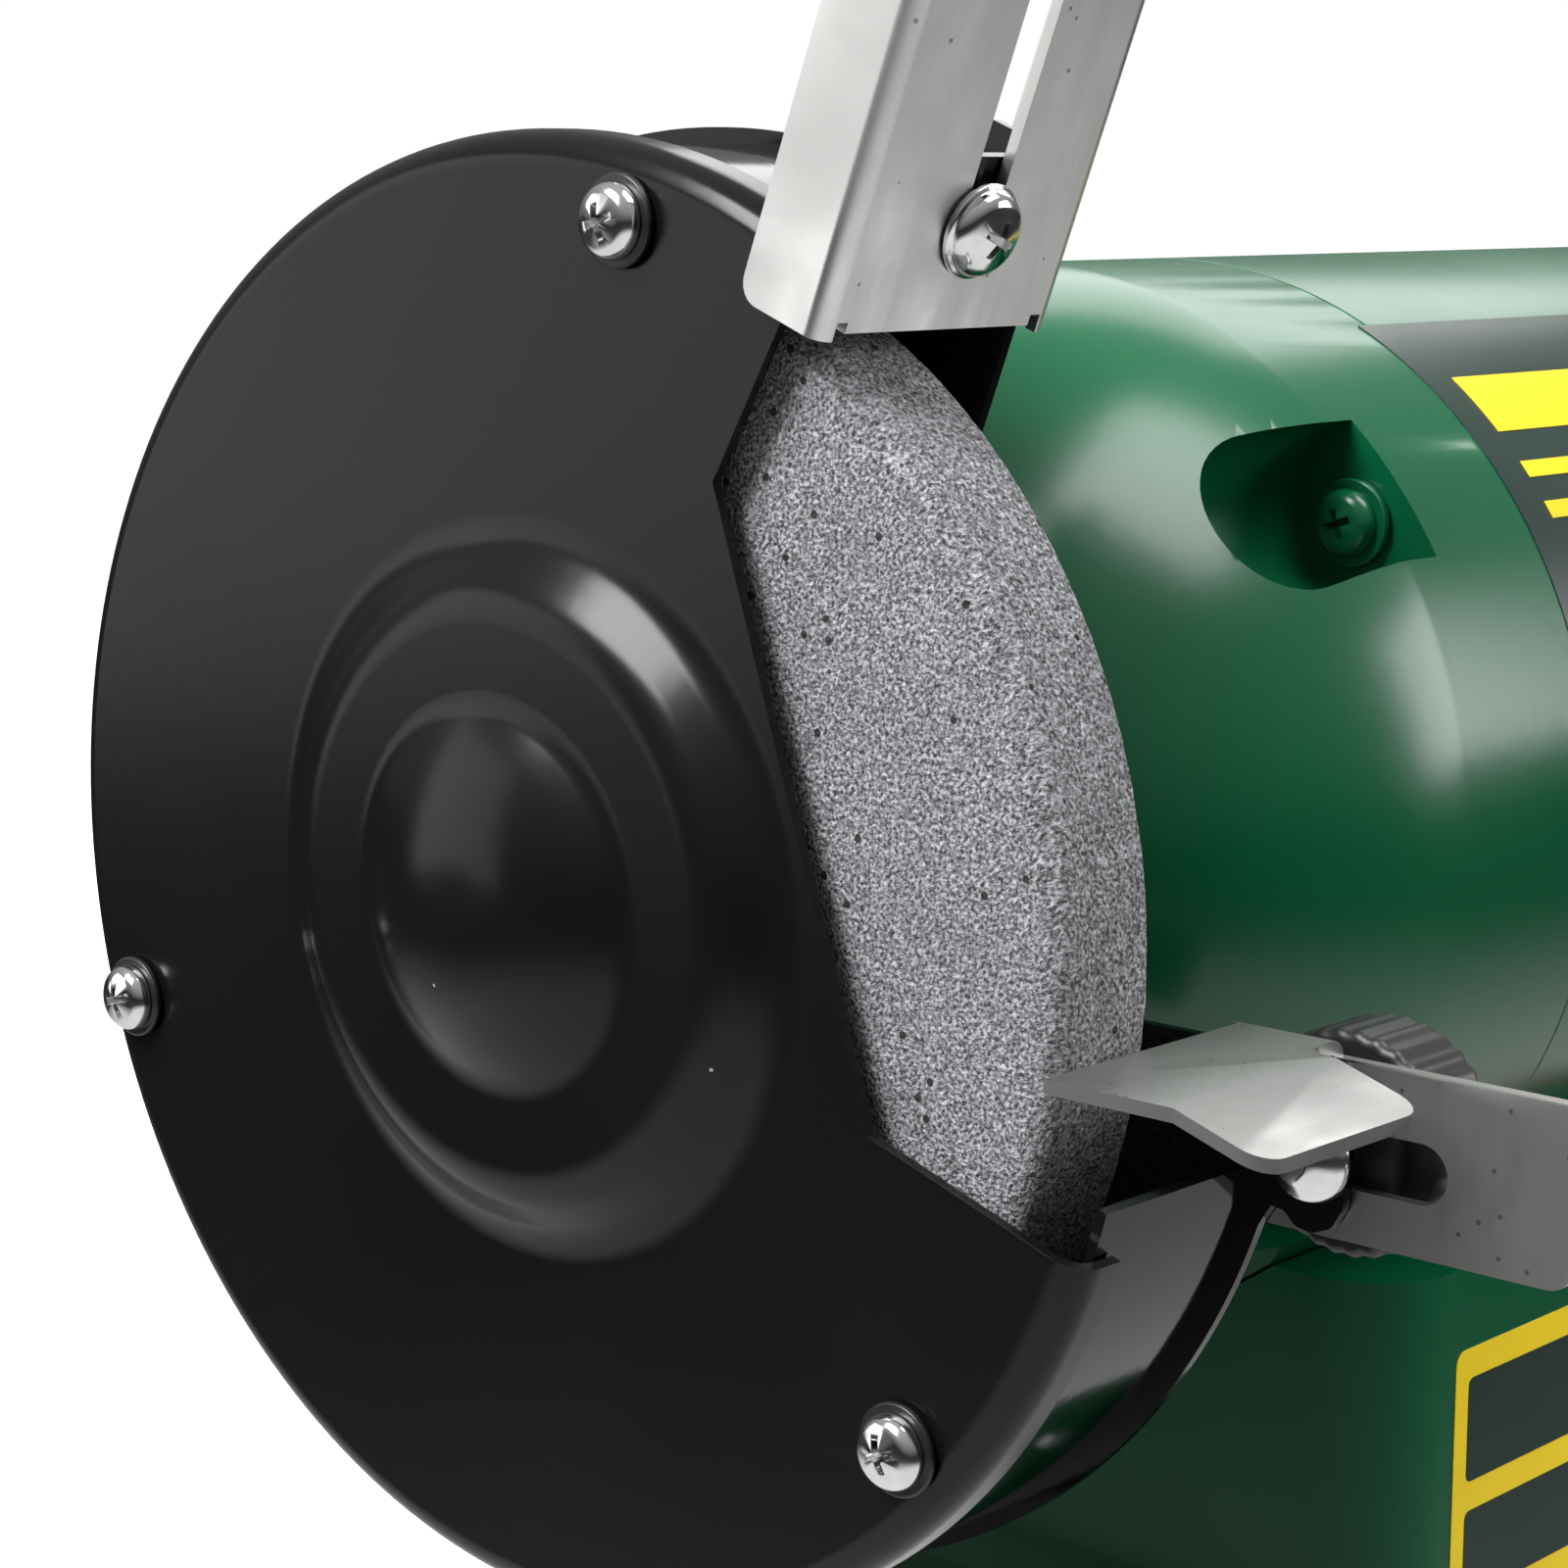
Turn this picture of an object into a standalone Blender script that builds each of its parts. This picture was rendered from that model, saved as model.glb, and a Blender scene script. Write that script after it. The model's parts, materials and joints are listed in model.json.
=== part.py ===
"""Bench grinder: two wheels on one motor shaft, modelled piece by piece.

Units are metres and +Z is up. X runs along the motor shaft and the front faces -Y. The origin is
on the bench, under the middle of the machine. Everything outside the motor is modelled on the
+X side and mirrored to -X. Distances called inset are measured from the flat of the guard cover
towards the motor, and forward means towards -Y from the shaft.
"""
import math

import bmesh
import bpy
from mathutils import Matrix, Vector

MM = 0.001
GAP = 0.3 * MM  # between pieces that touch
SHEET = 1.2 * MM  # guard and cover steel

# Wheel and arbor
WHEEL_RADIUS = 75 * MM
WHEEL_WIDTH = 16 * MM
WHEEL_EDGE = 2.5 * MM
ARBOR_RADIUS = 6.35 * MM
CLAMP_RADIUS = 25 * MM
CLAMP_WIDTH = 3 * MM
NUT_FLATS = 19 * MM
NUT_WIDTH = 7 * MM
ARBOR_PAST_NUT = 1 * MM

# Motor
BARREL_RADIUS = 69.5 * MM
BARREL_WALL = 3.5 * MM
BARREL_HALF = 66.85 * MM
BELL_LENGTH = 85.55 * MM
BELL_WALL = 4 * MM
DOME_LENGTH = 55.7 * MM
DOME_POWER = 1.6
NOSE_RADIUS = 38 * MM
SHAFT_HOLE_RADIUS = 10 * MM
BEARING_RADIUS = 17.5 * MM
BEARING_WIDTH = 11 * MM
JOURNAL_RADIUS = 7.5 * MM
SHAFT_RADIUS = 9 * MM
BEARING_BOSS_WALL = 4.2 * MM
CORE_HALF = 30 * MM
ROTOR_RADIUS = 34.7 * MM
AIR_GAP = 0.6 * MM
WINDING_LENGTH = 18 * MM
WINDING_RADIUS = BARREL_RADIUS - 12.5 * MM
WINDING_BORE = 38 * MM

# Through bolts and the scallops that hold their heads
BOLT_RADIUS = 2.5 * MM
BOLT_CIRCLE = BARREL_RADIUS - 8 * MM
BOLT_ANGLES = (39, 141, 219, 321)
BOLT_SEAT_INSET = 94 * MM
SCALLOP_RADIUS = 11 * MM
SCALLOP_CIRCLE = BARREL_RADIUS - 5 * MM
SCALLOP_LENGTH = 31 * MM
SCALLOP_WALL = 3 * MM
SCALLOP_SEAT = 5 * MM
SCALLOP_STEPS = 3

# Guard
GUARD_DEPTH = 32 * MM
WHEEL_SETBACK = 4 * MM
COVER_RADIUS = WHEEL_RADIUS + 10.6 * MM
COVER_CORNER = 4 * MM
COVER_SKIRT = 7 * MM
DOME_FOOT = 40.7 * MM
DOME_TOP = 34 * MM
DOME_STEP = 5 * MM
CAP_RADIUS = 22 * MM
CAP_RISE = 5.5 * MM
CUT_UPPER = (30.2 * MM, 48.4 * MM)
CUT_LOWER = (52.6 * MM, -18.9 * MM)
CUT_UPPER_ANGLE = 59.9
CUT_LOWER_ANGLE = -17.8
RIM_RADIUS = WHEEL_RADIUS + 11 * MM
HUB_HOLE_RADIUS = 20 * MM
RIM_FROM_ANGLE = -20
BAND_FROM_ANGLE = -15.5
BAND_TO_ANGLE = 59
COVER_SCREW_ANGLES = (77.5, -42, -162)
COVER_SCREW_CIRCLE = WHEEL_RADIUS + 2.5 * MM
COVER_SCREW_RADIUS = 1.7 * MM
LUG_WIDTH = 8 * MM
LUG_FOOT = WHEEL_RADIUS + 0.8 * MM
LUG_DEPTH = 8 * MM

# Arm that carries the tool rest
ARM_TOP = -10 * MM
ARM_FRONT = WHEEL_RADIUS + 16.5 * MM
ARM_ROOT = 46 * MM
ARM_BOLT = (ARM_FRONT - 4 * MM, -20.5 * MM)
ARM_BOLT_RADIUS = 2.6 * MM

# Spark bracket: a channel that leans forward
BRACKET_TILT = 21.5
BRACKET_FACE = 20.2 * MM
BRACKET_DEPTH = 12 * MM
BRACKET_SHEET = 1.4 * MM
BRACKET_BOTTOM = WHEEL_RADIUS + 1.3 * MM
BRACKET_TOP = WHEEL_RADIUS + 75 * MM
BRACKET_OUTER_INSET = -1.7 * MM
BRACKET_INNER_INSET = GUARD_DEPTH + 3.5 * MM
BRACKET_FRONT_TOP = BRACKET_TOP - 20 * MM
BRACKET_EAR_DEPTH = 9.3 * MM
SLOT_WIDTH = 5.3 * MM
SLOT_INSET = 18 * MM
SLOT_FROM = BRACKET_BOTTOM + 7.9 * MM
SLOT_TO = BRACKET_TOP - 26 * MM
BRACKET_SCREW_HEIGHT = BRACKET_BOTTOM + 12.2 * MM
BRACKET_SCREW_RADIUS = 2.4 * MM
TAB_FROM = BRACKET_BOTTOM + 1.7 * MM
TAB_TO = BRACKET_BOTTOM + 19.7 * MM
TAB_OUTER_INSET = 12 * MM
EAR_DEPTH = 10.5 * MM
EAR_FOOT = WHEEL_RADIUS - 13 * MM

# Eye shield
SHIELD_PIVOT = (13 * MM, BRACKET_TOP - 8 * MM)
SHIELD_PIVOT_RADIUS = 3 * MM
SHIELD_HUB_RADIUS = 5 * MM
SHIELD_RISE = 40
SHIELD_NECK_WIDTH = 28 * MM
SHIELD_NECK_THICK = 5 * MM
SHIELD_NECK_LENGTH = 18 * MM
SHIELD_WIDTH = 76 * MM
SHIELD_THICK = 3 * MM
SHIELD_FROM = 12.5 * MM
SHIELD_LENGTH = 53 * MM
SHIELD_CORNER = 8 * MM

# Tool rest
REST_SHEET = 1.5 * MM
REST_TOP = -8.2 * MM
REST_REAR = WHEEL_RADIUS + 2 * MM
REST_BEND = REST_REAR + 16 * MM
REST_FRONT = REST_REAR + 27 * MM
REST_DROP = 3.5 * MM
REST_OUTER_INSET = -1 * MM
REST_NECK_FRONT = REST_REAR + 12 * MM
REST_NOTCH_WIDTH = 6 * MM
UPRIGHT_REAR = REST_REAR - 1 * MM
UPRIGHT_FRONT = REST_REAR + 41 * MM
UPRIGHT_BOTTOM = -29.5 * MM
REST_SLOT_REAR = REST_REAR + 3.5 * MM
REST_SLOT_FRONT = REST_REAR + 26 * MM
REST_SLOT_WIDTH = 6.5 * MM
KNOB_RADIUS = 12.5 * MM
KNOB_WIDTH = 12.9 * MM

# Pedestal
AXIS_HEIGHT = 127 * MM
PEDESTAL_LENGTH = 191 * MM
PEDESTAL_WIDTH = 120 * MM
PEDESTAL_TOP = AXIS_HEIGHT - 56 * MM
PEDESTAL_WALL = 3 * MM
PEDESTAL_CORNER = 12 * MM
FLANGE_REACH = 15 * MM
FLANGE_SIDE = 2 * MM
FLANGE_THICK = 4 * MM
FLANGE_HOLE_RADIUS = 3.6 * MM
FLANGE_HOLE_SPREAD = 90 * MM
FOOT_HEIGHT = 10 * MM
FOOT_RADIUS = 11 * MM
FOOT_SPREAD = (PEDESTAL_LENGTH - 41 * MM, PEDESTAL_WIDTH - 36 * MM)
BASE_PLATE_THICK = 2 * MM

# Switch
SWITCH_HEIGHT = 42 * MM
SWITCH_SIZE = (26 * MM, 32 * MM)
SWITCH_LIP = 3 * MM
SWITCH_FACE = 2.5 * MM
SWITCH_DEPTH = 20 * MM
ROCKER_WIDTH = 14 * MM
ROCKER_HALF = 9 * MM
ROCKER_TILT = 10
ROCKER_SIDE_GAP = 0.4 * MM

# Capacitor, gland and cord
CAPACITOR_RADIUS = 17.5 * MM
CAPACITOR_LENGTH = 60 * MM
CAPACITOR_BACK = 25 * MM
GLAND_RADIUS = 6.5 * MM
GLAND_TAIL = 34 * MM
GLAND_COLLAR = 3 * MM
CORD_HEIGHT = 28 * MM
CORD_RADIUS = 3.5 * MM
COIL_CENTRE = (0, 215 * MM)
COIL_RADIUS = 40.4 * MM
COIL_ACROSS = 21 * MM
COIL_HEIGHT = 14 * MM
PLUG_RADIUS = 15 * MM
PLUG_LENGTH = 38 * MM
PLUG_TAIL = 22 * MM

# Heads and ends as (radius or forward, height) from the seat they stand on
PAN_HEAD = ((0, 3.9 * MM), (2.4 * MM, 3.5 * MM), (4.2 * MM, 1.6 * MM), (4.2 * MM, 0))
FLANGE_HEAD = (
    (0, 3.6 * MM),
    (2.8 * MM, 3.2 * MM),
    (4.6 * MM, 1.4 * MM),
    (5.3 * MM, 0.8 * MM),
    (5.3 * MM, 0),
)
CUP_HEAD = ((0, 3.2 * MM), (3.4 * MM, 2.8 * MM), (5 * MM, 1.2 * MM), (5 * MM, 0))
BOLT_HEAD = ((0, 4.2 * MM), (4.5 * MM, 4.2 * MM), (4.5 * MM, 0))
BOLT_END = (
    (5.5 * MM, 0),
    (5.5 * MM, 1.2 * MM),
    (4.2 * MM, 1.4 * MM),
    (3 * MM, 3.8 * MM),
    (0, 4.2 * MM),
)
ARM_END = (
    (0, -14.5 * MM),
    (-1.5 * MM, -17.6 * MM),
    (-4 * MM, -19 * MM),
    (-6 * MM, -18.6 * MM),
    (-7.5 * MM, -17.2 * MM),
    (-9.1 * MM, -17 * MM),
)
BRACKET_SHANK = 9 * MM
PIVOT_HEAD = (5 * MM, 3 * MM)
PIVOT_NUT = (5.5 * MM, 4 * MM)
KNOB_COLLAR = (8 * MM, 2 * MM)
KNOB_SHOULDER = 1 * MM
KNOB_EDGE = 1.5 * MM
KNOB_CROWN = 3 * MM
WINDING_ROUND = 4 * MM
UPRIGHT_CORNER = 4 * MM
TAB_CORNER = 1 * MM
FOOT_TAPER = 2 * MM
FOOT_EDGE = 1 * MM
ROCKER_PIVOT = 3 * MM
ROCKER_FACE = -5.5 * MM
ROCKER_DISH = -4 * MM
ROCKER_BACK = (1 * MM, 7 * MM)
ROCKER_HEEL = (ROCKER_HALF + 0.5 * MM, 5 * MM)
ROCKER_ROOM = 2.2 * MM
ROCKER_POCKET = 14 * MM
GLAND_TIP = CORD_RADIUS + 1.3 * MM
GLAND_SHOULDER = GLAND_RADIUS + 0.8 * MM
GLAND_FLANGE = GLAND_RADIUS + 3 * MM
GLAND_INSIDE = 3 * MM
PIN_SPREAD = 9.5 * MM
PIN_RADIUS = 2.4 * MM
PIN_LENGTH = 19 * MM
PLUG_EDGE = 1 * MM
PLUG_SHOULDER = 8 * MM
PLUG_TAIL_WALL = 1 * MM
LYING = 0.1 * MM  # between the bench and what lies on it
PAST = 2 * MM  # how far a cutter runs past a face
BURIED = 0.2 * MM  # how far a joined piece sits inside its neighbour's outline

# The free cord from the strain relief: (backwards, height)
CORD_DROP = (
    (9 * MM, 27.5 * MM),
    (20 * MM, 24.3 * MM),
    (33 * MM, 17.2 * MM),
    (46 * MM, 9.8 * MM),
    (59 * MM, 5 * MM),
)

# Values that follow from the ones above
REAR_REACH = RIM_RADIUS
AXIS_Y = (UPRIGHT_FRONT - REAR_REACH) / 2
NOSE_X = BARREL_HALF + GAP + BELL_LENGTH
COVER_X = NOSE_X + GAP + GUARD_DEPTH
BAND_RADIUS = COVER_RADIUS - SHEET - GAP
BAND_EDGE_INSET = COVER_CORNER + GAP
PEDESTAL_BOTTOM = FOOT_HEIGHT + GAP + BASE_PLATE_THICK + GAP

ROUND = 48
MIDDLE = 32
RING = 20
SMALL = 16
TINY = 12
BAND_STEPS = 57

# Frames: columns say where a shape's own X, Y and Z go
AXIS_POINT = Vector((0, AXIS_Y, AXIS_HEIGHT))
UP_BRACKET = Vector((0, -math.sin(math.radians(BRACKET_TILT)), math.cos(math.radians(BRACKET_TILT))))
OUT_BRACKET = Vector((0, -math.cos(math.radians(BRACKET_TILT)), -math.sin(math.radians(BRACKET_TILT))))
X_AXIS = Vector((1, 0, 0))
Y_AXIS = Vector((0, 1, 0))
Z_AXIS = Vector((0, 0, 1))

FINISHES = {
    "green_paint": ((0.01, 0.16, 0.06), 0.25, 0.0),
    "black_paint": ((0.01, 0.01, 0.012), 0.3, 0.0),
    "zinc": ((0.72, 0.73, 0.74), 0.35, 1.0),
    "steel": ((0.6, 0.6, 0.6), 0.25, 1.0),
    "abrasive": ((0.22, 0.22, 0.24), 0.95, 0.0),
    "laminations": ((0.3, 0.3, 0.32), 0.5, 1.0),
    "copper": ((0.6, 0.28, 0.12), 0.4, 1.0),
    "black_plastic": ((0.015, 0.015, 0.015), 0.45, 0.0),
    "red_plastic": ((0.5, 0.02, 0.02), 0.35, 0.0),
    "rubber": ((0.02, 0.02, 0.02), 0.8, 0.0),
    "clear": ((0.85, 0.92, 0.92), 0.05, 0.0),
    "aluminium": ((0.7, 0.7, 0.72), 0.4, 1.0),
}


def frame(origin, x_to, y_to):
    """Return the matrix that sends a shape's X and Y along these directions from origin."""
    z_to = x_to.cross(y_to)
    matrix = Matrix((x_to, y_to, z_to)).transposed().to_4x4()
    matrix.translation = origin
    return matrix


ALONG_X = frame(AXIS_POINT, Y_AXIS, Z_AXIS)


def at(inset):
    """Return the X of a plane that lies this far in from the cover's flat on the +X side."""
    return COVER_X - inset


def forward_point(forward, height):
    """Return (y, z) for a distance in front of the shaft and a height above it."""
    return (-forward, height)


def on_bracket(out, height):
    """Return the world point this far out from, and up, the bracket's own axes."""
    return AXIS_POINT + OUT_BRACKET * out + UP_BRACKET * height


def polar(radius, angle, centre=(0, 0)):
    """Return (y, z) at an angle in degrees from straight ahead, towards up."""
    turn = math.radians(angle)
    return (centre[0] - radius * math.cos(turn), centre[1] + radius * math.sin(turn))


def arc(radius, start, end, steps, centre=(0, 0)):
    """Return points on an arc from one angle to another."""
    return [polar(radius, start + (end - start) * i / steps, centre) for i in range(steps + 1)]


def circle(centre, radius, steps):
    """Return a closed round outline."""
    turns = [2 * math.pi * i / steps for i in range(steps)]
    return [(centre[0] + radius * math.cos(a), centre[1] + radius * math.sin(a)) for a in turns]


def rounded_rectangle(low, high, radius, steps=3):
    """Return a rectangle's outline with round corners."""
    corners = (
        (high[0] - radius, high[1] - radius, 0),
        (low[0] + radius, high[1] - radius, 90),
        (low[0] + radius, low[1] + radius, 180),
        (high[0] - radius, low[1] + radius, 270),
    )
    points = []
    for x, y, start in corners:
        for i in range(steps + 1):
            turn = math.radians(start + 90 * i / steps)
            points.append((x + radius * math.cos(turn), y + radius * math.sin(turn)))
    return points


def stadium(start, end, radius, steps=5):
    """Return the outline of a slot along the first axis, between the centres of its ends."""
    points = []
    for centre, turn_from in ((end, -90), (start, 90)):
        for i in range(steps + 1):
            turn = math.radians(turn_from + 180 * i / steps)
            points.append((centre[0] + radius * math.cos(turn), centre[1] + radius * math.sin(turn)))
    return points


def clear_scene():
    """Remove every object, so that the model starts empty."""
    for obj in list(bpy.data.objects):
        bpy.data.objects.remove(obj)


def collection(name):
    """Return the collection of that name, made on first use."""
    if name not in bpy.data.collections:
        bpy.context.scene.collection.children.link(bpy.data.collections.new(name))
    return bpy.data.collections[name]


def material(name):
    """Return the Principled material of that finish, made on first use."""
    if name in bpy.data.materials:
        return bpy.data.materials[name]
    colour, roughness, metallic = FINISHES[name]
    made = bpy.data.materials.new(name)
    made.use_nodes = True
    shader = made.node_tree.nodes["Principled BSDF"]
    shader.inputs["Base Color"].default_value = (*colour, 1)
    shader.inputs["Roughness"].default_value = roughness
    shader.inputs["Metallic"].default_value = metallic
    return made


def add_object(name, mesh, matrix, finish):
    """Add a piece with a finish, or a cutter where finish is None."""
    obj = bpy.data.objects.new(name, mesh)
    obj.matrix_world = matrix
    if finish is None:
        obj.hide_render = True
        obj.display_type = "WIRE"
        collection("cutters").objects.link(obj)
    else:
        mesh.materials.clear()
        mesh.materials.append(material(finish))
        collection("bench_grinder").objects.link(obj)
    return obj


def turned(name, profile, steps, matrix, finish):
    """Turn a profile of (radius, height) about its own Z, listed down its outer side."""
    closed = profile[0][0] > 0
    mesh = bpy.data.meshes.new(name)
    count = len(profile)
    edges = [(i, i + 1) for i in range(count - 1)]
    if closed:
        edges.append((count - 1, 0))
    mesh.from_pydata([(radius, 0, height) for radius, height in profile], edges, [])
    obj = add_object(name, mesh, matrix, finish)
    screw = obj.modifiers.new("turn", "SCREW")
    screw.steps = steps
    screw.render_steps = steps
    screw.use_merge_vertices = True
    screw.merge_threshold = 0.01 * MM
    return obj


def prism(name, outlines, low, high, matrix, finish):
    """Extrude flat outlines along their Z from low to high; inner outlines are holes."""
    curve = bpy.data.curves.new(name, "CURVE")
    curve.dimensions = "2D"
    curve.fill_mode = "BOTH"
    curve.extrude = (high - low) / 2
    for outline in outlines:
        spline = curve.splines.new("POLY")
        spline.points.add(len(outline) - 1)
        spline.use_cyclic_u = True
        for point, place in zip(spline.points, outline):
            point.co = (*place, 0, 1)
    guide = bpy.data.objects.new(name + "_outline", curve)
    guide.matrix_world = matrix @ Matrix.Translation((0, 0, (low + high) / 2))
    collection("cutters").objects.link(guide)
    return curve_to_mesh(guide, name, finish)


def curve_to_mesh(guide, name, finish):
    """Make a curve object a mesh with its caps welded, and remove the curve."""
    bpy.context.view_layer.update()
    evaluated = guide.evaluated_get(bpy.context.evaluated_depsgraph_get())
    mesh = bpy.data.meshes.new_from_object(evaluated)
    mesh.name = name
    work = bmesh.new()
    work.from_mesh(mesh)
    bmesh.ops.remove_doubles(work, verts=work.verts, dist=0.01 * MM)
    work.to_mesh(mesh)
    work.free()
    matrix = guide.matrix_world.copy()
    bpy.data.objects.remove(guide)
    return add_object(name, mesh, matrix, finish)


def boolean(obj, other, operation="DIFFERENCE"):
    """Cut one object with another, or join them."""
    modifier = obj.modifiers.new(other.name, "BOOLEAN")
    modifier.operation = operation
    modifier.object = other


def mirrored(source, name, finish):
    """Add a piece's mirror image on the -X side, as a mesh of its own."""
    bpy.context.view_layer.update()
    evaluated = source.evaluated_get(bpy.context.evaluated_depsgraph_get())
    mesh = bpy.data.meshes.new_from_object(evaluated)
    flip = Matrix.Scale(-1, 4, X_AXIS)
    place = Matrix.Translation(flip @ source.matrix_world.translation)
    mesh.transform(place.inverted() @ flip @ source.matrix_world)
    mesh.flip_normals()
    mesh.name = name
    return add_object(name, mesh, place, finish)


def pair(source, finish):
    """Name a piece for the +X side and add its mirror image for the other."""
    stem = source.name
    source.name = stem + "_right"
    return source, mirrored(source, stem + "_left", finish)


def bar(name, start, end, radius, steps, matrix, finish):
    """Turn a plain round bar between two heights."""
    profile = [(0, end), (radius, end), (radius, start), (0, start)]
    return turned(name, profile, steps, matrix, finish)


def standing(head, seat):
    """Return a head's profile moved on to its seat."""
    return [(radius, seat + height) for radius, height in head]


def turned_about(origin):
    """Return a frame whose Z runs along world X through a point."""
    return frame(Vector((0, origin[1], origin[2])), Y_AXIS, Z_AXIS)


# ---------------------------------------------------------------- wheel and arbor


def wheel_stack():
    """Model the wheel, its two clamp flanges and the nut."""
    wheel_out = at(WHEEL_SETBACK)
    wheel_in = wheel_out - WHEEL_WIDTH
    bore = ARBOR_RADIUS + GAP
    flat = WHEEL_RADIUS - WHEEL_EDGE
    profile = [
        (bore, wheel_out),
        (flat, wheel_out),
        (WHEEL_RADIUS, wheel_out - WHEEL_EDGE),
        (WHEEL_RADIUS, wheel_in + WHEEL_EDGE),
        (flat, wheel_in),
        (bore, wheel_in),
    ]
    pair(turned("grinding_wheel", profile, ROUND, ALONG_X, "abrasive"), "abrasive")
    for name, inner in (
        ("outer_flange", wheel_out + GAP),
        ("inner_flange", wheel_in - GAP - CLAMP_WIDTH),
    ):
        outer = inner + CLAMP_WIDTH
        ring = [(bore, outer), (CLAMP_RADIUS, outer), (CLAMP_RADIUS, inner), (bore, inner)]
        pair(turned(name, ring, SMALL, ALONG_X, "steel"), "steel")
    nut_in = wheel_out + GAP + CLAMP_WIDTH + GAP
    corner = NUT_FLATS / 2 / math.cos(math.pi / 6)
    outlines = [circle((0, 0), corner, 6), circle((0, 0), bore, SMALL)]
    nut = prism("wheel_nut", outlines, nut_in, nut_in + NUT_WIDTH, ALONG_X, "steel")
    pair(nut, "steel")


def shaft():
    """Model the motor shaft from arbor end to arbor end."""
    wheel_out = at(WHEEL_SETBACK)
    end = wheel_out + GAP + CLAMP_WIDTH + GAP + NUT_WIDTH + ARBOR_PAST_NUT
    shoulder = wheel_out - WHEEL_WIDTH - GAP - CLAMP_WIDTH - GAP
    journal_end = NOSE_X - BELL_WALL - GAP - BEARING_WIDTH - GAP
    half = [
        (0, end),
        (ARBOR_RADIUS, end),
        (ARBOR_RADIUS, shoulder),
        (JOURNAL_RADIUS, shoulder),
        (JOURNAL_RADIUS, journal_end),
        (SHAFT_RADIUS, journal_end),
    ]
    other = [(radius, -x) for radius, x in reversed(half)]
    turned("shaft", half + other, SMALL, ALONG_X, "steel")


# ---------------------------------------------------------------- motor


def motor_inside():
    """Model the barrel, the stator and rotor cores, the windings and the bearings."""
    inner = BARREL_RADIUS - BARREL_WALL
    tube = [
        (inner, BARREL_HALF),
        (BARREL_RADIUS, BARREL_HALF),
        (BARREL_RADIUS, -BARREL_HALF),
        (inner, -BARREL_HALF),
    ]
    turned("motor_barrel", tube, MIDDLE, ALONG_X, "green_paint")

    bore = ROTOR_RADIUS + AIR_GAP
    core = inner - GAP
    ring = [(bore, CORE_HALF), (core, CORE_HALF), (core, -CORE_HALF), (bore, -CORE_HALF)]
    stator = turned("stator_core", ring, MIDDLE, ALONG_X, "laminations")
    for index, angle in enumerate(BOLT_ANGLES):
        place = bolt_place(BOLT_CIRCLE, angle)
        reach = CORE_HALF + PAST
        hole = bar(f"stator_hole_{index}", -reach, reach, BOLT_RADIUS + GAP, TINY, place, None)
        boolean(stator, hole)

    rotor_bore = SHAFT_RADIUS + GAP
    lamination = [
        (rotor_bore, CORE_HALF),
        (ROTOR_RADIUS, CORE_HALF),
        (ROTOR_RADIUS, -CORE_HALF),
        (rotor_bore, -CORE_HALF),
    ]
    turned("rotor_core", lamination, MIDDLE, ALONG_X, "laminations")

    near = CORE_HALF + GAP
    far = near + WINDING_LENGTH
    coil = [
        (WINDING_BORE + WINDING_ROUND, far),
        (WINDING_RADIUS - WINDING_ROUND, far),
        (WINDING_RADIUS, far - WINDING_ROUND),
        (WINDING_RADIUS, near),
        (WINDING_BORE, near),
        (WINDING_BORE, far - WINDING_ROUND),
    ]
    pair(turned("winding", coil, RING, ALONG_X, "copper"), "copper")

    seat = NOSE_X - BELL_WALL - GAP
    race = [
        (JOURNAL_RADIUS + GAP, seat),
        (BEARING_RADIUS, seat),
        (BEARING_RADIUS, seat - BEARING_WIDTH),
        (JOURNAL_RADIUS + GAP, seat - BEARING_WIDTH),
    ]
    pair(turned("bearing", race, SMALL, ALONG_X, "steel"), "steel")


def bolt_place(radius, angle):
    """Return a frame along X through a point at an angle round the shaft."""
    y, z = polar(radius, angle)
    return turned_about(AXIS_POINT + Vector((0, y, z)))


def dome(nose_x, nose_radius, length, radius, steps=5):
    """Return the end bell's curve from its nose to its full radius."""
    points = []
    for i in range(steps + 1):
        turn = math.pi / 2 * i / steps
        along = math.cos(turn) ** (2 / DOME_POWER) if i < steps else 0
        across = math.sin(turn) ** (2 / DOME_POWER)
        points.append((nose_radius + (radius - nose_radius) * across, nose_x - length * (1 - along)))
    return points


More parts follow.
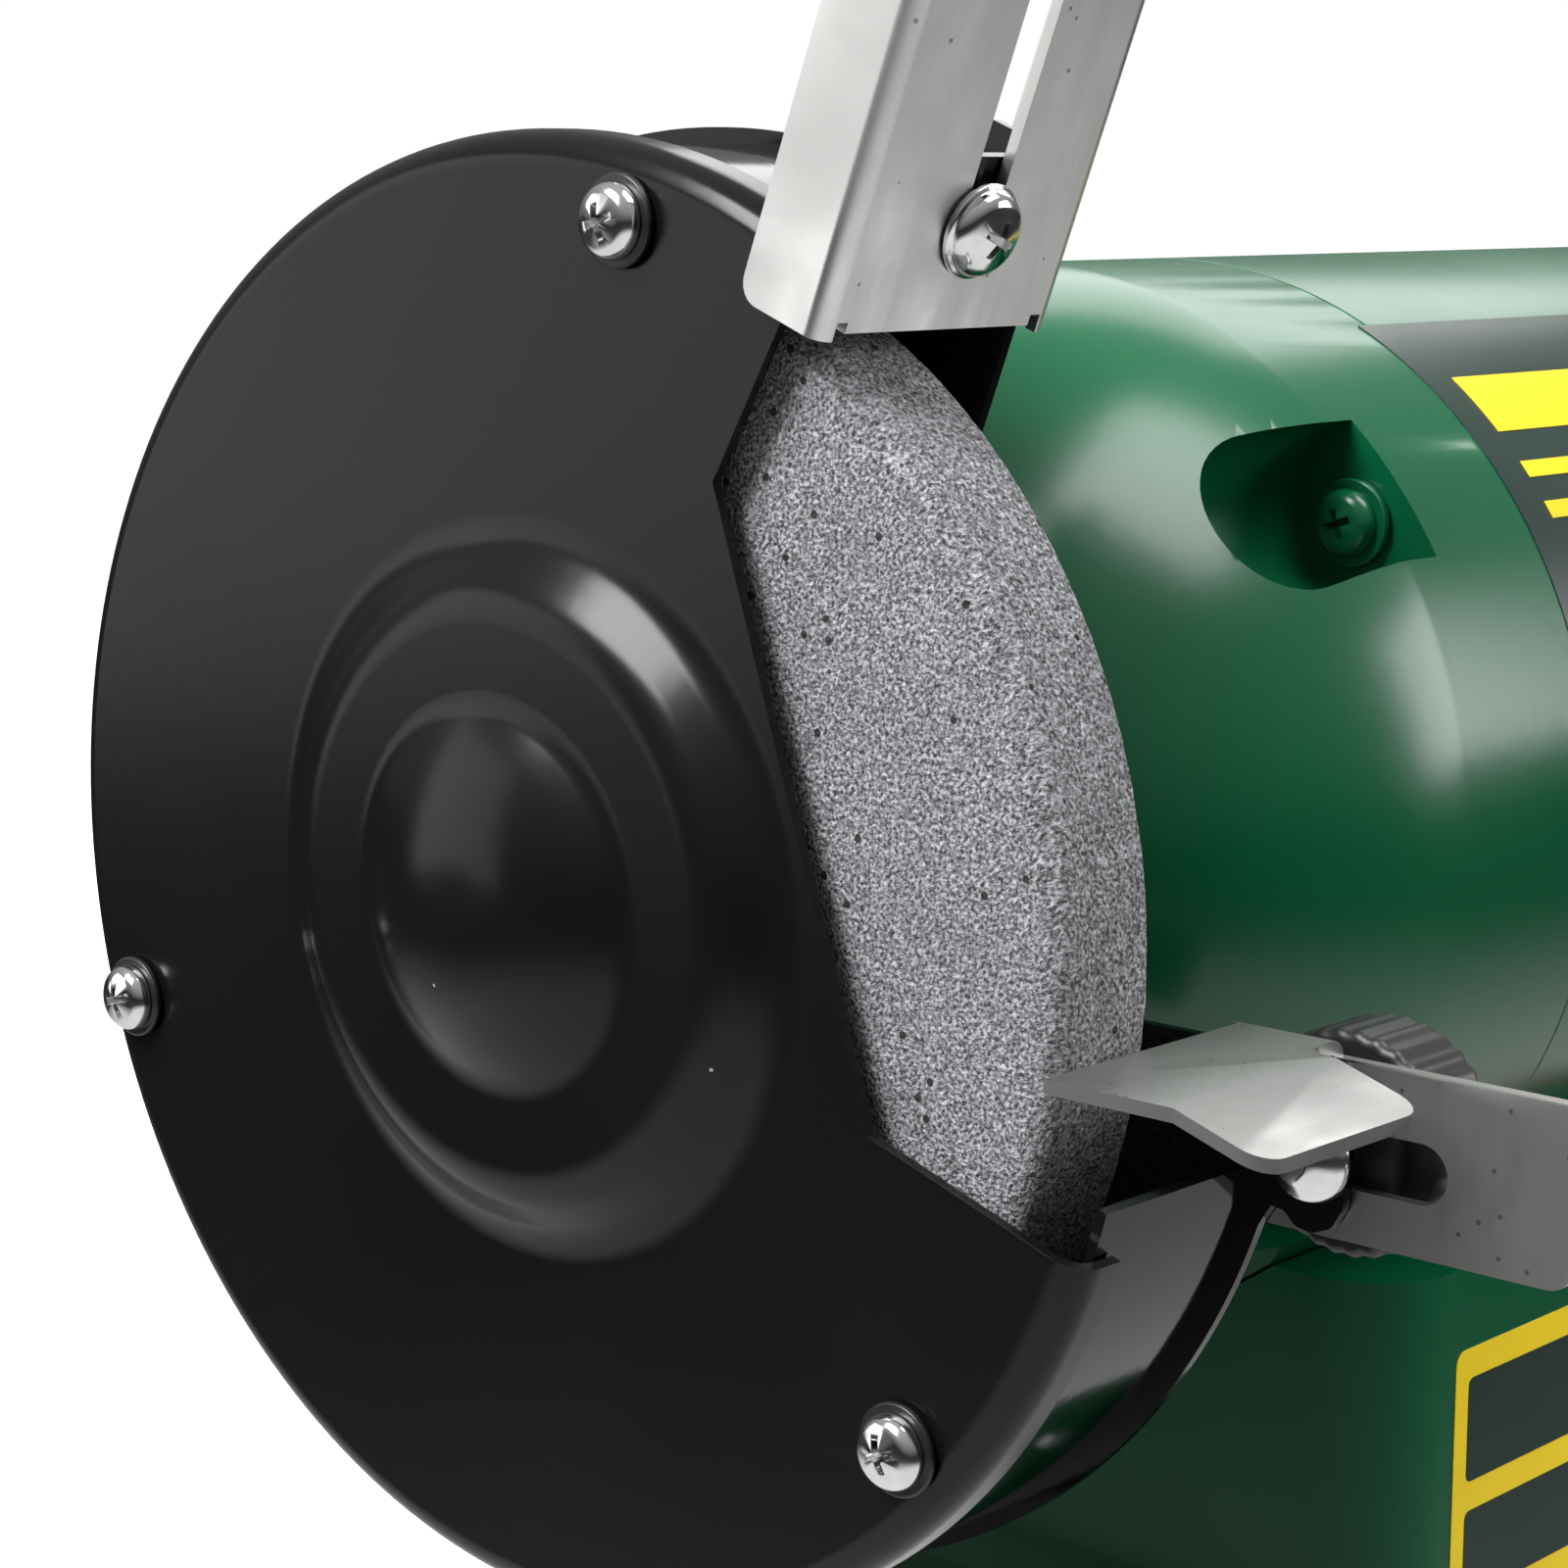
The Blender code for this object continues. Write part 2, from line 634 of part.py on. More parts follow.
def end_bell():
    """Model the end bell: a domed shell with a bearing seat and four scallops."""
    seam = BARREL_HALF + GAP
    body = [(SHAFT_HOLE_RADIUS, NOSE_X)]
    body += dome(NOSE_X, NOSE_RADIUS, DOME_LENGTH, BARREL_RADIUS)
    body += [(BARREL_RADIUS, seam), (SHAFT_HOLE_RADIUS, seam)]
    bell = turned("end_bell", body, MIDDLE, ALONG_X, "green_paint")

    past = seam - PAST
    wall_x = NOSE_X - BELL_WALL
    seat_radius = BEARING_RADIUS + GAP
    boss_radius = seat_radius + BEARING_BOSS_WALL
    boss_x = wall_x - GAP - BEARING_WIDTH
    clear = SHAFT_HOLE_RADIUS - PAST
    hollow = [(boss_radius, wall_x)]
    hollow += dome(wall_x, NOSE_RADIUS - BELL_WALL, DOME_LENGTH, BARREL_RADIUS - BELL_WALL)
    hollow += [
        (BARREL_RADIUS - BELL_WALL, past),
        (clear, past),
        (clear, wall_x),
        (seat_radius, wall_x),
        (seat_radius, boss_x),
        (boss_radius, boss_x),
    ]
    cavity = turned("bell_cavity", hollow, MIDDLE, ALONG_X, None)
    cutters = []
    for index, angle in enumerate(BOLT_ANGLES):
        place = bolt_place(SCALLOP_CIRCLE, angle)
        seat_x = at(BOLT_SEAT_INSET)
        pocket = scallop(f"scallop_pocket_{index}", seat_x - SCALLOP_SEAT, SCALLOP_WALL, place)
        boolean(cavity, pocket)
        cutters.append(scallop(f"scallop_{index}", seat_x, 0, place))
        hole = bar(
            f"bolt_hole_{index}",
            seat_x - SCALLOP_SEAT - PAST,
            seat_x + PAST,
            BOLT_RADIUS + GAP,
            TINY,
            bolt_place(BOLT_CIRCLE, angle),
            None,
        )
        cutters.append(hole)
    boolean(bell, cavity)
    for cutter in cutters:
        boolean(bell, cutter)
    pair(bell, "green_paint")


def scallop(name, seat_x, wall, place):
    """Model one round-ended pocket, flat at its seat, grown by a wall."""
    radius = SCALLOP_RADIUS + wall
    tip = at(BOLT_SEAT_INSET) + SCALLOP_LENGTH + wall
    profile = []
    for i in range(SCALLOP_STEPS + 1):
        turn = math.pi / 2 * i / SCALLOP_STEPS
        profile.append((radius * math.sin(turn), tip - radius * (1 - math.cos(turn))))
    profile += [(radius, seat_x), (0, seat_x)]
    return turned(name, profile, TINY, place, None)


def through_bolts():
    """Model the four long bolts that hold the bells on the barrel."""
    seat = at(BOLT_SEAT_INSET) + GAP
    for angle, name in zip(BOLT_ANGLES, ("front_upper", "rear_upper", "rear_lower", "front_lower")):
        profile = standing(BOLT_HEAD, seat)
        profile += [(BOLT_RADIUS, seat), (BOLT_RADIUS, -seat)]
        profile += [(radius, -seat - height) for radius, height in BOLT_END]
        turned(f"through_bolt_{name}", profile, TINY, bolt_place(BOLT_CIRCLE, angle), "green_paint")


# ---------------------------------------------------------------- guard


def guard_cover():
    """Model the pressed cover: flat, rolled skirt, two-tier dome and the front cut-out."""
    cap_sphere = (CAP_RADIUS**2 + CAP_RISE**2) / (2 * CAP_RISE)

    def half_section(inward):
        """Return the section from the middle to the skirt's edge, moved in by a thickness."""
        x = COVER_X - inward
        top = x + DOME_STEP
        middle = CAP_RADIUS / 2
        sag = cap_sphere - math.sqrt(cap_sphere**2 - middle**2)
        corner = COVER_CORNER - inward
        turn = math.radians(45)
        return [
            (0, top + CAP_RISE),
            (middle, top + CAP_RISE - sag),
            (CAP_RADIUS, top),
            (DOME_TOP, top),
            (DOME_FOOT, x),
            (COVER_RADIUS - COVER_CORNER, x),
            (
                COVER_RADIUS - COVER_CORNER + corner * math.sin(turn),
                x - corner * (1 - math.cos(turn)),
            ),
            (COVER_RADIUS - inward, x - corner),
            (COVER_RADIUS - inward, COVER_X - COVER_SKIRT),
        ]

    section = half_section(0) + list(reversed(half_section(SHEET)))
    cover = turned("guard_cover", section, ROUND, ALONG_X, "black_paint")
    reach = 2 * COVER_RADIUS

    def ahead_of(corner, angle):
        """Return a far point from a corner of the cut-out along one of its edges."""
        turn = math.radians(angle)
        return (corner[0] + reach * math.cos(turn), corner[1] + reach * math.sin(turn))

    upper_far = ahead_of(CUT_UPPER, CUT_UPPER_ANGLE)
    lower_far = ahead_of(CUT_LOWER, CUT_LOWER_ANGLE)
    outline = [CUT_UPPER, upper_far, (lower_far[0], upper_far[1]), lower_far, CUT_LOWER]
    outline = [forward_point(*point) for point in outline]
    cutter = prism(
        "cover_cutout",
        [outline],
        COVER_X - 2 * COVER_SKIRT,
        COVER_X + 4 * DOME_STEP,
        ALONG_X,
        None,
    )
    boolean(cover, cutter)
    for index, angle in enumerate(COVER_SCREW_ANGLES):
        place = bolt_place(COVER_SCREW_CIRCLE, angle)
        hole = bar(
            f"cover_hole_{index}",
            COVER_X - 3 * SHEET,
            COVER_X + SHEET,
            COVER_SCREW_RADIUS + GAP,
            TINY,
            place,
            None,
        )
        boolean(cover, hole)
    pair(cover, "black_paint")


def cover_screws():
    """Model the pan-head screws that hold the covers."""
    for angle, name in zip(COVER_SCREW_ANGLES, ("top", "front", "rear")):
        under = COVER_X + GAP
        end = at(BAND_EDGE_INSET + LUG_DEPTH - PAST)
        profile = standing(PAN_HEAD, under)
        profile += [(COVER_SCREW_RADIUS, under), (COVER_SCREW_RADIUS, end), (0, end)]
        place = bolt_place(COVER_SCREW_CIRCLE, angle)
        pair(turned(f"cover_screw_{name}", profile, TINY, place, "steel"), "steel")


def arm_outline():
    """Return the arm's outline from its root along the top, round the end, to the rim."""
    shape = [(ARM_ROOT, ARM_TOP), (ARM_FRONT, ARM_TOP)]
    shape += [(ARM_FRONT + forward, ARM_TOP + height) for forward, height in ARM_END]
    return [forward_point(*point) for point in shape]


def bracket_point(out, height):
    """Return (y, z) from the shaft for a place on the bracket's own axes."""
    point = on_bracket(out, height) - AXIS_POINT
    return (point.y, point.z)


def inner_guard():
    """Model the inner guard: back plate with arm and ear, band, tab and screw lugs."""
    tab_face = BRACKET_FACE - BRACKET_SHEET - GAP
    ear_back = tab_face - EAR_DEPTH
    rim_height = math.sqrt(RIM_RADIUS**2 - ear_back**2)
    ear_corner = bracket_point(ear_back, rim_height)
    ear_angle = math.degrees(math.atan2(ear_corner[1], -ear_corner[0]))
    plate = arm_outline()
    plate += arc(RIM_RADIUS, RIM_FROM_ANGLE, ear_angle - 360, BAND_STEPS - 1)
    plate += [
        bracket_point(ear_back, TAB_TO),
        bracket_point(tab_face, TAB_TO),
        bracket_point(tab_face, EAR_FOOT),
    ]
    arm_bolt = circle(forward_point(*ARM_BOLT), ARM_BOLT_RADIUS + GAP, TINY)
    hub_hole = circle((0, 0), HUB_HOLE_RADIUS, RING)
    inner_x = at(GUARD_DEPTH)
    guard = prism(
        "inner_guard", [plate, hub_hole, arm_bolt], inner_x, inner_x + SHEET, ALONG_X, "black_paint"
    )

    band = arc(BAND_RADIUS, BAND_FROM_ANGLE, BAND_TO_ANGLE - 360, BAND_STEPS)
    band += arc(BAND_RADIUS - SHEET, BAND_TO_ANGLE - 360, BAND_FROM_ANGLE, BAND_STEPS)
    overlap = SHEET / 2
    wall = prism("guard_band", [band], inner_x + overlap, at(BAND_EDGE_INSET), ALONG_X, None)
    boolean(guard, wall, "UNION")

    tab_frame = frame(AXIS_POINT, X_AXIS, UP_BRACKET)
    tab_low = (inner_x + BURIED, TAB_FROM)
    tab_high = (at(TAB_OUTER_INSET), TAB_TO - BURIED)
    tab = rounded_rectangle(tab_low, tab_high, TAB_CORNER, 1)
    hole = circle((at(SLOT_INSET), BRACKET_SCREW_HEIGHT), BRACKET_SCREW_RADIUS + GAP, TINY)
    tab_plate = prism(
        "guard_tab", [tab, hole], tab_face - SHEET, tab_face - BURIED / 10, tab_frame, None
    )
    boolean(guard, tab_plate, "UNION")

    for index, angle in enumerate(COVER_SCREW_ANGLES):
        turn = math.radians(angle)
        away = Vector((0, -math.cos(turn), math.sin(turn)))
        lug_frame = frame(AXIS_POINT, away, away.cross(X_AXIS) * -1)
        lug = [
            (LUG_FOOT, -LUG_WIDTH / 2),
            (BAND_RADIUS - SHEET / 2, -LUG_WIDTH / 2),
            (BAND_RADIUS - SHEET / 2, LUG_WIDTH / 2),
            (LUG_FOOT, LUG_WIDTH / 2),
        ]
        block = prism(
            f"guard_lug_{index}",
            [lug],
            at(BAND_EDGE_INSET + LUG_DEPTH),
            at(BAND_EDGE_INSET) - GAP,
            lug_frame,
            None,
        )
        boolean(guard, block, "UNION")
        drill = bar(
            f"lug_hole_{index}",
            at(BAND_EDGE_INSET + LUG_DEPTH) - PAST,
            at(BAND_EDGE_INSET) + PAST,
            COVER_SCREW_RADIUS + GAP,
            TINY,
            bolt_place(COVER_SCREW_CIRCLE, angle),
            None,
        )
        boolean(guard, drill)
    pair(guard, "black_paint")


# ---------------------------------------------------------------- spark bracket and eye shield


def spark_bracket():
    """Model the slotted channel that slides on the guard's tab, and its screw."""
    back = BRACKET_FACE - BRACKET_DEPTH
    inside = BRACKET_FACE - BRACKET_SHEET
    low = at(BRACKET_INNER_INSET)
    high = at(BRACKET_OUTER_INSET)
    channel = [
        (back, low),
        (BRACKET_FACE, low),
        (BRACKET_FACE, high),
        (back, high),
        (back, high - BRACKET_SHEET),
        (inside, high - BRACKET_SHEET),
        (inside, low + BRACKET_SHEET),
        (back, low + BRACKET_SHEET),
    ]
    upward = frame(AXIS_POINT, OUT_BRACKET, X_AXIS)
    bracket = prism("spark_bracket", [channel], BRACKET_BOTTOM, BRACKET_TOP, upward, "zinc")

    face_on = frame(AXIS_POINT, UP_BRACKET, OUT_BRACKET.cross(UP_BRACKET))
    across = -at(SLOT_INSET)
    half = SLOT_WIDTH / 2
    slot = stadium((SLOT_FROM + half, across), (SLOT_TO - half, across), half)
    boolean(
        bracket,
        prism("bracket_slot", [slot], inside - PAST, BRACKET_FACE + PAST, face_on, None),
    )
    middle = (low + high) / 2
    half_width = (high - low) / 2 + PAST
    window = box_cutter(
        "bracket_window",
        (-half_width, half_width),
        (BRACKET_FRONT_TOP, BRACKET_TOP + PAST),
        (back + BRACKET_EAR_DEPTH, BRACKET_FACE + PAST),
        frame(AXIS_POINT + X_AXIS * middle, X_AXIS, UP_BRACKET),
    )
    boolean(bracket, window)
    pivot = turned_about(on_bracket(*SHIELD_PIVOT))
    hole = bar("pivot_hole", low - PAST, high + PAST, SHIELD_PIVOT_RADIUS + GAP, TINY, pivot, None)
    boolean(bracket, hole)
    pair(bracket, "zinc")

    screw_origin = on_bracket(0, BRACKET_SCREW_HEIGHT) + X_AXIS * at(SLOT_INSET)
    screw_frame = frame(screw_origin, X_AXIS, UP_BRACKET)
    under = BRACKET_FACE + GAP
    end = under - BRACKET_SHANK
    profile = standing(FLANGE_HEAD, under)
    profile += [(BRACKET_SCREW_RADIUS, under), (BRACKET_SCREW_RADIUS, end), (0, end)]
    pair(turned("bracket_screw", profile, SMALL, screw_frame, "steel"), "steel")


def box_cutter(name, xs, ys, zs, matrix):
    """Add a box cutter between three pairs of limits in a frame."""
    outline = [(xs[0], ys[0]), (xs[1], ys[0]), (xs[1], ys[1]), (xs[0], ys[1])]
    return prism(name, [outline], zs[0], zs[1], matrix, None)


def eye_shield():
    """Model the tilting eye shield and the bolt that it turns on."""
    low = at(BRACKET_INNER_INSET)
    high = at(BRACKET_OUTER_INSET)
    pivot_point = on_bracket(*SHIELD_PIVOT)
    pivot = turned_about(pivot_point)
    hub_low = low + BRACKET_SHEET + GAP
    hub_high = high - BRACKET_SHEET - GAP
    bore = SHIELD_PIVOT_RADIUS + GAP
    ring = [
        (bore, hub_high),
        (SHIELD_HUB_RADIUS, hub_high),
        (SHIELD_HUB_RADIUS, hub_low),
        (bore, hub_low),
    ]
    shield = turned("eye_shield", ring, SMALL, pivot, "clear")
    middle = (low + high) / 2
    rise = math.radians(SHIELD_RISE)
    along = Vector((0, -math.cos(rise), math.sin(rise)))
    panel_frame = frame(pivot_point + X_AXIS * middle, X_AXIS, along)
    neck = box_cutter(
        "shield_neck",
        (-SHIELD_NECK_WIDTH / 2, SHIELD_NECK_WIDTH / 2),
        ((bore + SHIELD_HUB_RADIUS) / 2, SHIELD_NECK_LENGTH),
        (-SHIELD_NECK_THICK / 2, SHIELD_NECK_THICK / 2),
        panel_frame,
    )
    boolean(shield, neck, "UNION")
    panel = rounded_rectangle(
        (-SHIELD_WIDTH / 2, SHIELD_FROM),
        (SHIELD_WIDTH / 2, SHIELD_FROM + SHIELD_LENGTH),
        SHIELD_CORNER,
    )
    sheet = prism(
        "shield_panel", [panel], -SHIELD_THICK / 2, SHIELD_THICK / 2, panel_frame, None
    )
    boolean(shield, sheet, "UNION")
    pair(shield, "clear")

    head_radius, head = PIVOT_HEAD
    nut_radius, nut = PIVOT_NUT
    bolt = [
        (0, high + GAP + head),
        (head_radius, high + GAP + head),
        (head_radius, high + GAP),
        (SHIELD_PIVOT_RADIUS, high + GAP),
        (SHIELD_PIVOT_RADIUS, low - GAP),
        (nut_radius, low - GAP),
        (nut_radius, low - GAP - nut),
        (0, low - GAP - nut),
    ]
    pair(turned("shield_bolt", bolt, TINY, pivot, "steel"), "steel")


# ---------------------------------------------------------------- tool rest


def tool_rest():
    """Model the rest plate with its lowered lip and slotted upright."""
    under = REST_TOP - REST_SHEET
    upright_outer = GUARD_DEPTH + GAP
    upright_inner = upright_outer + REST_SHEET
    section = [
        (REST_REAR, REST_TOP),
        (REST_BEND, REST_TOP),
        (REST_FRONT, REST_TOP - REST_DROP),
        (REST_FRONT, under - REST_DROP),
        (REST_BEND, under),
        (REST_REAR, under),
    ]
    section = [forward_point(*point) for point in section]
    rest = prism(
        "tool_rest", [section], at(upright_inner), at(REST_OUTER_INSET), ALONG_X, "zinc"
    )
    notch = box_cutter(
        "rest_notch",
        (-REST_FRONT - PAST, -REST_NECK_FRONT),
        (under - REST_DROP - PAST, REST_TOP + PAST),
        (at(upright_inner) - PAST, at(upright_outer) + REST_NOTCH_WIDTH),
        ALONG_X,
    )
    boolean(rest, notch)
    upright_top = REST_TOP - REST_SHEET / 2
    outline = rounded_rectangle(
        (-UPRIGHT_FRONT, UPRIGHT_BOTTOM), (-UPRIGHT_REAR, upright_top), UPRIGHT_CORNER
    )
    bolt_height = ARM_BOLT[1]
    half = REST_SLOT_WIDTH / 2
    slot = stadium(
        (-REST_SLOT_FRONT + half, bolt_height), (-REST_SLOT_REAR - half, bolt_height), half
    )
    upright = prism(
        "rest_upright",
        [outline, slot],
        at(upright_inner) + BURIED / 10,
        at(upright_outer),
        ALONG_X,
        None,
    )
    boolean(rest, upright, "UNION")
    pair(rest, "zinc")

    bolt_y, bolt_z = forward_point(*ARM_BOLT)
    place = turned_about(AXIS_POINT + Vector((0, bolt_y, bolt_z)))
    head = GUARD_DEPTH - SHEET - GAP
    knob_near = upright_inner + GAP
    knob_far = knob_near + KNOB_WIDTH
    shank_end = knob_far - KNOB_CROWN
    collar_radius, collar = KNOB_COLLAR
    screw = standing(CUP_HEAD, at(head))
    screw += [(ARM_BOLT_RADIUS, at(head)), (ARM_BOLT_RADIUS, at(shank_end)), (0, at(shank_end))]
    pair(turned("rest_screw", screw, SMALL, place, "steel"), "steel")
    knob = [
        (0, at(shank_end + GAP)),
        (ARM_BOLT_RADIUS + GAP, at(shank_end + GAP)),
        (ARM_BOLT_RADIUS + GAP, at(knob_near)),
        (collar_radius, at(knob_near)),
        (collar_radius, at(knob_near + collar)),
        (KNOB_RADIUS, at(knob_near + collar + KNOB_SHOULDER)),
        (KNOB_RADIUS, at(knob_far - KNOB_EDGE)),
        (KNOB_RADIUS - KNOB_EDGE, at(knob_far)),
        (0, at(knob_far)),
    ]
    pair(turned("rest_knob", knob, SMALL, place, "black_plastic"), "black_plastic")


# ---------------------------------------------------------------- pedestal


def pedestal():
    """Model the hollow pedestal with its saddle, foot flange and openings."""
    origin = Vector((0, AXIS_Y, 0))
    upright = frame(origin, X_AXIS, Y_AXIS)
    half_x = PEDESTAL_LENGTH / 2
    half_y = PEDESTAL_WIDTH / 2
    outline = rounded_rectangle((-half_x, -half_y), (half_x, half_y), PEDESTAL_CORNER)
    body = prism(
        "base_pedestal", [outline], PEDESTAL_BOTTOM, PEDESTAL_TOP, upright, "green_paint"
    )
    flange_x = half_x + FLANGE_REACH
    flange_y = half_y + FLANGE_SIDE
    flange = [rounded_rectangle((-flange_x, -flange_y), (flange_x, flange_y), PEDESTAL_CORNER)]
    hole_x = half_x + FLANGE_REACH / 2
    for x in (-hole_x, hole_x):
        for y in (-FLANGE_HOLE_SPREAD / 2, FLANGE_HOLE_SPREAD / 2):
            flange.append(circle((x, y), FLANGE_HOLE_RADIUS, TINY))
    skirt = prism(
        "pedestal_flange",
        flange,
        PEDESTAL_BOTTOM,
        PEDESTAL_BOTTOM + FLANGE_THICK,
        upright,
        None,
    )
    boolean(body, skirt, "UNION")

    wall = PEDESTAL_WALL
    inside = rounded_rectangle(
        (-half_x + wall, -half_y + wall), (half_x - wall, half_y - wall), PEDESTAL_CORNER - wall
    )
    hollow = prism(
        "pedestal_hollow", [inside], PEDESTAL_BOTTOM - PAST, PEDESTAL_TOP - wall, upright, None
    )
    reach = flange_x + PAST
    saddle_radius = BARREL_RADIUS + GAP
    shell = bar("saddle_wall", -reach, reach, saddle_radius + wall, MIDDLE, ALONG_X, None)
    boolean(hollow, shell)
    boolean(body, hollow)
    saddle = bar("saddle", -reach, reach, saddle_radius, MIDDLE, ALONG_X, None)
    boolean(body, saddle)

    slot_x = SWITCH_SIZE[0] / 2 + GAP
    slot_z = SWITCH_SIZE[1] / 2 + GAP
    window = box_cutter(
        "switch_window",
        (-slot_x, slot_x),
        (-half_y - PAST, -half_y + wall + PAST),
        (SWITCH_HEIGHT - slot_z, SWITCH_HEIGHT + slot_z),
        upright,
    )
    boolean(body, window)
    gland = gland_frame()
    hole = bar("gland_hole", -wall - PAST, PAST, GLAND_RADIUS + GAP, SMALL, gland, None)
    boolean(body, hole)

    plate_top = FOOT_HEIGHT + GAP + BASE_PLATE_THICK
    prism(
        "base_plate",
        [rounded_rectangle((-half_x, -half_y), (half_x, half_y), PEDESTAL_CORNER)],
        FOOT_HEIGHT + GAP,
        plate_top,
        upright,
        "zinc",
    )
    for side_x, name_x in ((-1, "left"), (1, "right")):
        for side_y, name_y in ((-1, "front"), (1, "rear")):
            spot = origin + Vector((side_x * FOOT_SPREAD[0] / 2, side_y * FOOT_SPREAD[1] / 2, 0))
            profile = [
                (0, FOOT_HEIGHT),
                (FOOT_RADIUS - FOOT_TAPER, FOOT_HEIGHT),
                (FOOT_RADIUS, FOOT_TAPER),
                (FOOT_RADIUS - FOOT_EDGE, 0),
                (0, 0),
            ]
            turned(
                f"foot_{name_x}_{name_y}", profile, SMALL, Matrix.Translation(spot), "rubber"
            )
    capacitor_z = plate_top + GAP + CAPACITOR_RADIUS
    lying = turned_about(Vector((0, AXIS_Y + CAPACITOR_BACK, capacitor_z)))
    bar(
        "run_capacitor",
        -CAPACITOR_LENGTH / 2,
        CAPACITOR_LENGTH / 2,
        CAPACITOR_RADIUS,
        SMALL,
        lying,
        "aluminium",
    )


def switch():
    """Model the switch body and its rocker, at rest in the off position."""
    face = AXIS_Y - PEDESTAL_WIDTH / 2 - GAP - SWITCH_FACE
    origin = Vector((0, face, SWITCH_HEIGHT))
    facing = frame(origin, X_AXIS, Z_AXIS)
    half_x = SWITCH_SIZE[0] / 2
    half_z = SWITCH_SIZE[1] / 2
    lip = rounded_rectangle(
        (-half_x - SWITCH_LIP, -half_z - SWITCH_LIP),
        (half_x + SWITCH_LIP, half_z + SWITCH_LIP),
        SWITCH_LIP,
    )
    body = prism("switch_body", [lip], 0, SWITCH_FACE, facing, "black_plastic")
    body.matrix_world = facing @ Matrix.Translation((0, 0, -SWITCH_FACE / 2))
    block = box_cutter(
        "switch_block",
        (-half_x, half_x),
        (-half_z, half_z),
        (-SWITCH_FACE - SWITCH_DEPTH, -SWITCH_FACE / 2),
        facing,
    )
    boolean(body, block, "UNION")
    pocket_x = ROCKER_WIDTH / 2 + ROCKER_SIDE_GAP
    pocket_z = ROCKER_HALF + ROCKER_ROOM
    pocket = box_cutter(
        "switch_pocket",
        (-pocket_x, pocket_x),
        (-pocket_z, pocket_z),
        (-ROCKER_POCKET, PAST),
        facing,
    )
    boolean(body, pocket)

    pivot = origin + Vector((0, ROCKER_PIVOT, 0))
    turn = Matrix.Rotation(math.radians(ROCKER_TILT), 4, "X")
    rocker_frame = Matrix.Translation(pivot) @ turn @ frame(Vector((0, 0, 0)), Y_AXIS, Z_AXIS)
    shoulder, back = ROCKER_BACK
    widest, heel = ROCKER_HEEL
    outline = [
        (ROCKER_FACE, ROCKER_HALF),
        (ROCKER_DISH, 0),
        (ROCKER_FACE, -ROCKER_HALF),
        (shoulder, -widest),
        (back, -heel),
        (back, heel),
        (shoulder, widest),
    ]
    prism(
        "switch_rocker",
        [outline],
        -ROCKER_WIDTH / 2,
        ROCKER_WIDTH / 2,
        rocker_frame,
        "red_plastic",
    )


# ---------------------------------------------------------------- gland and cord


def gland_frame():
    """Return a frame on the rear wall's outer face whose Z points backwards."""
    x = COIL_CENTRE[0] - COIL_RADIUS - COIL_ACROSS / 2 + CORD_RADIUS
    return frame(Vector((x, AXIS_Y + PEDESTAL_WIDTH / 2, CORD_HEIGHT)), Z_AXIS, X_AXIS)


def cord_gland():
    """Model the strain relief, a bush with a tapered tail."""
    collar = GAP + GLAND_COLLAR
    inner = -PEDESTAL_WALL - GAP
    profile = [
        (0, collar + GLAND_TAIL),
        (GLAND_TIP, collar + GLAND_TAIL),
        (GLAND_SHOULDER, collar),
        (GLAND_FLANGE, collar),
        (GLAND_FLANGE, GAP),
        (GLAND_RADIUS, GAP),
        (GLAND_RADIUS, inner - GLAND_INSIDE),
        (0, inner - GLAND_INSIDE),
    ]
    turned("cord_gland", profile, SMALL, gland_frame(), "rubber")


def smooth_route(points, spacing):
    """Return points along a smooth curve through a route, about this far apart."""
    ends = [points[0] * 2 - points[1], *points, points[-1] * 2 - points[-2]]
    route = [points[0]]
    for before, start, end, after in zip(ends, ends[1:], ends[2:], ends[3:]):
        steps = max(1, round((end - start).length / spacing))
        for i in range(1, steps + 1):
            t = i / steps
            route.append(
                (
                    start * 2
                    + (end - before) * t
                    + (before * 2 - start * 5 + end * 4 - after) * t**2
                    + (start * 3 - before - end * 3 + after) * t**3
                )
                / 2
            )
    return route


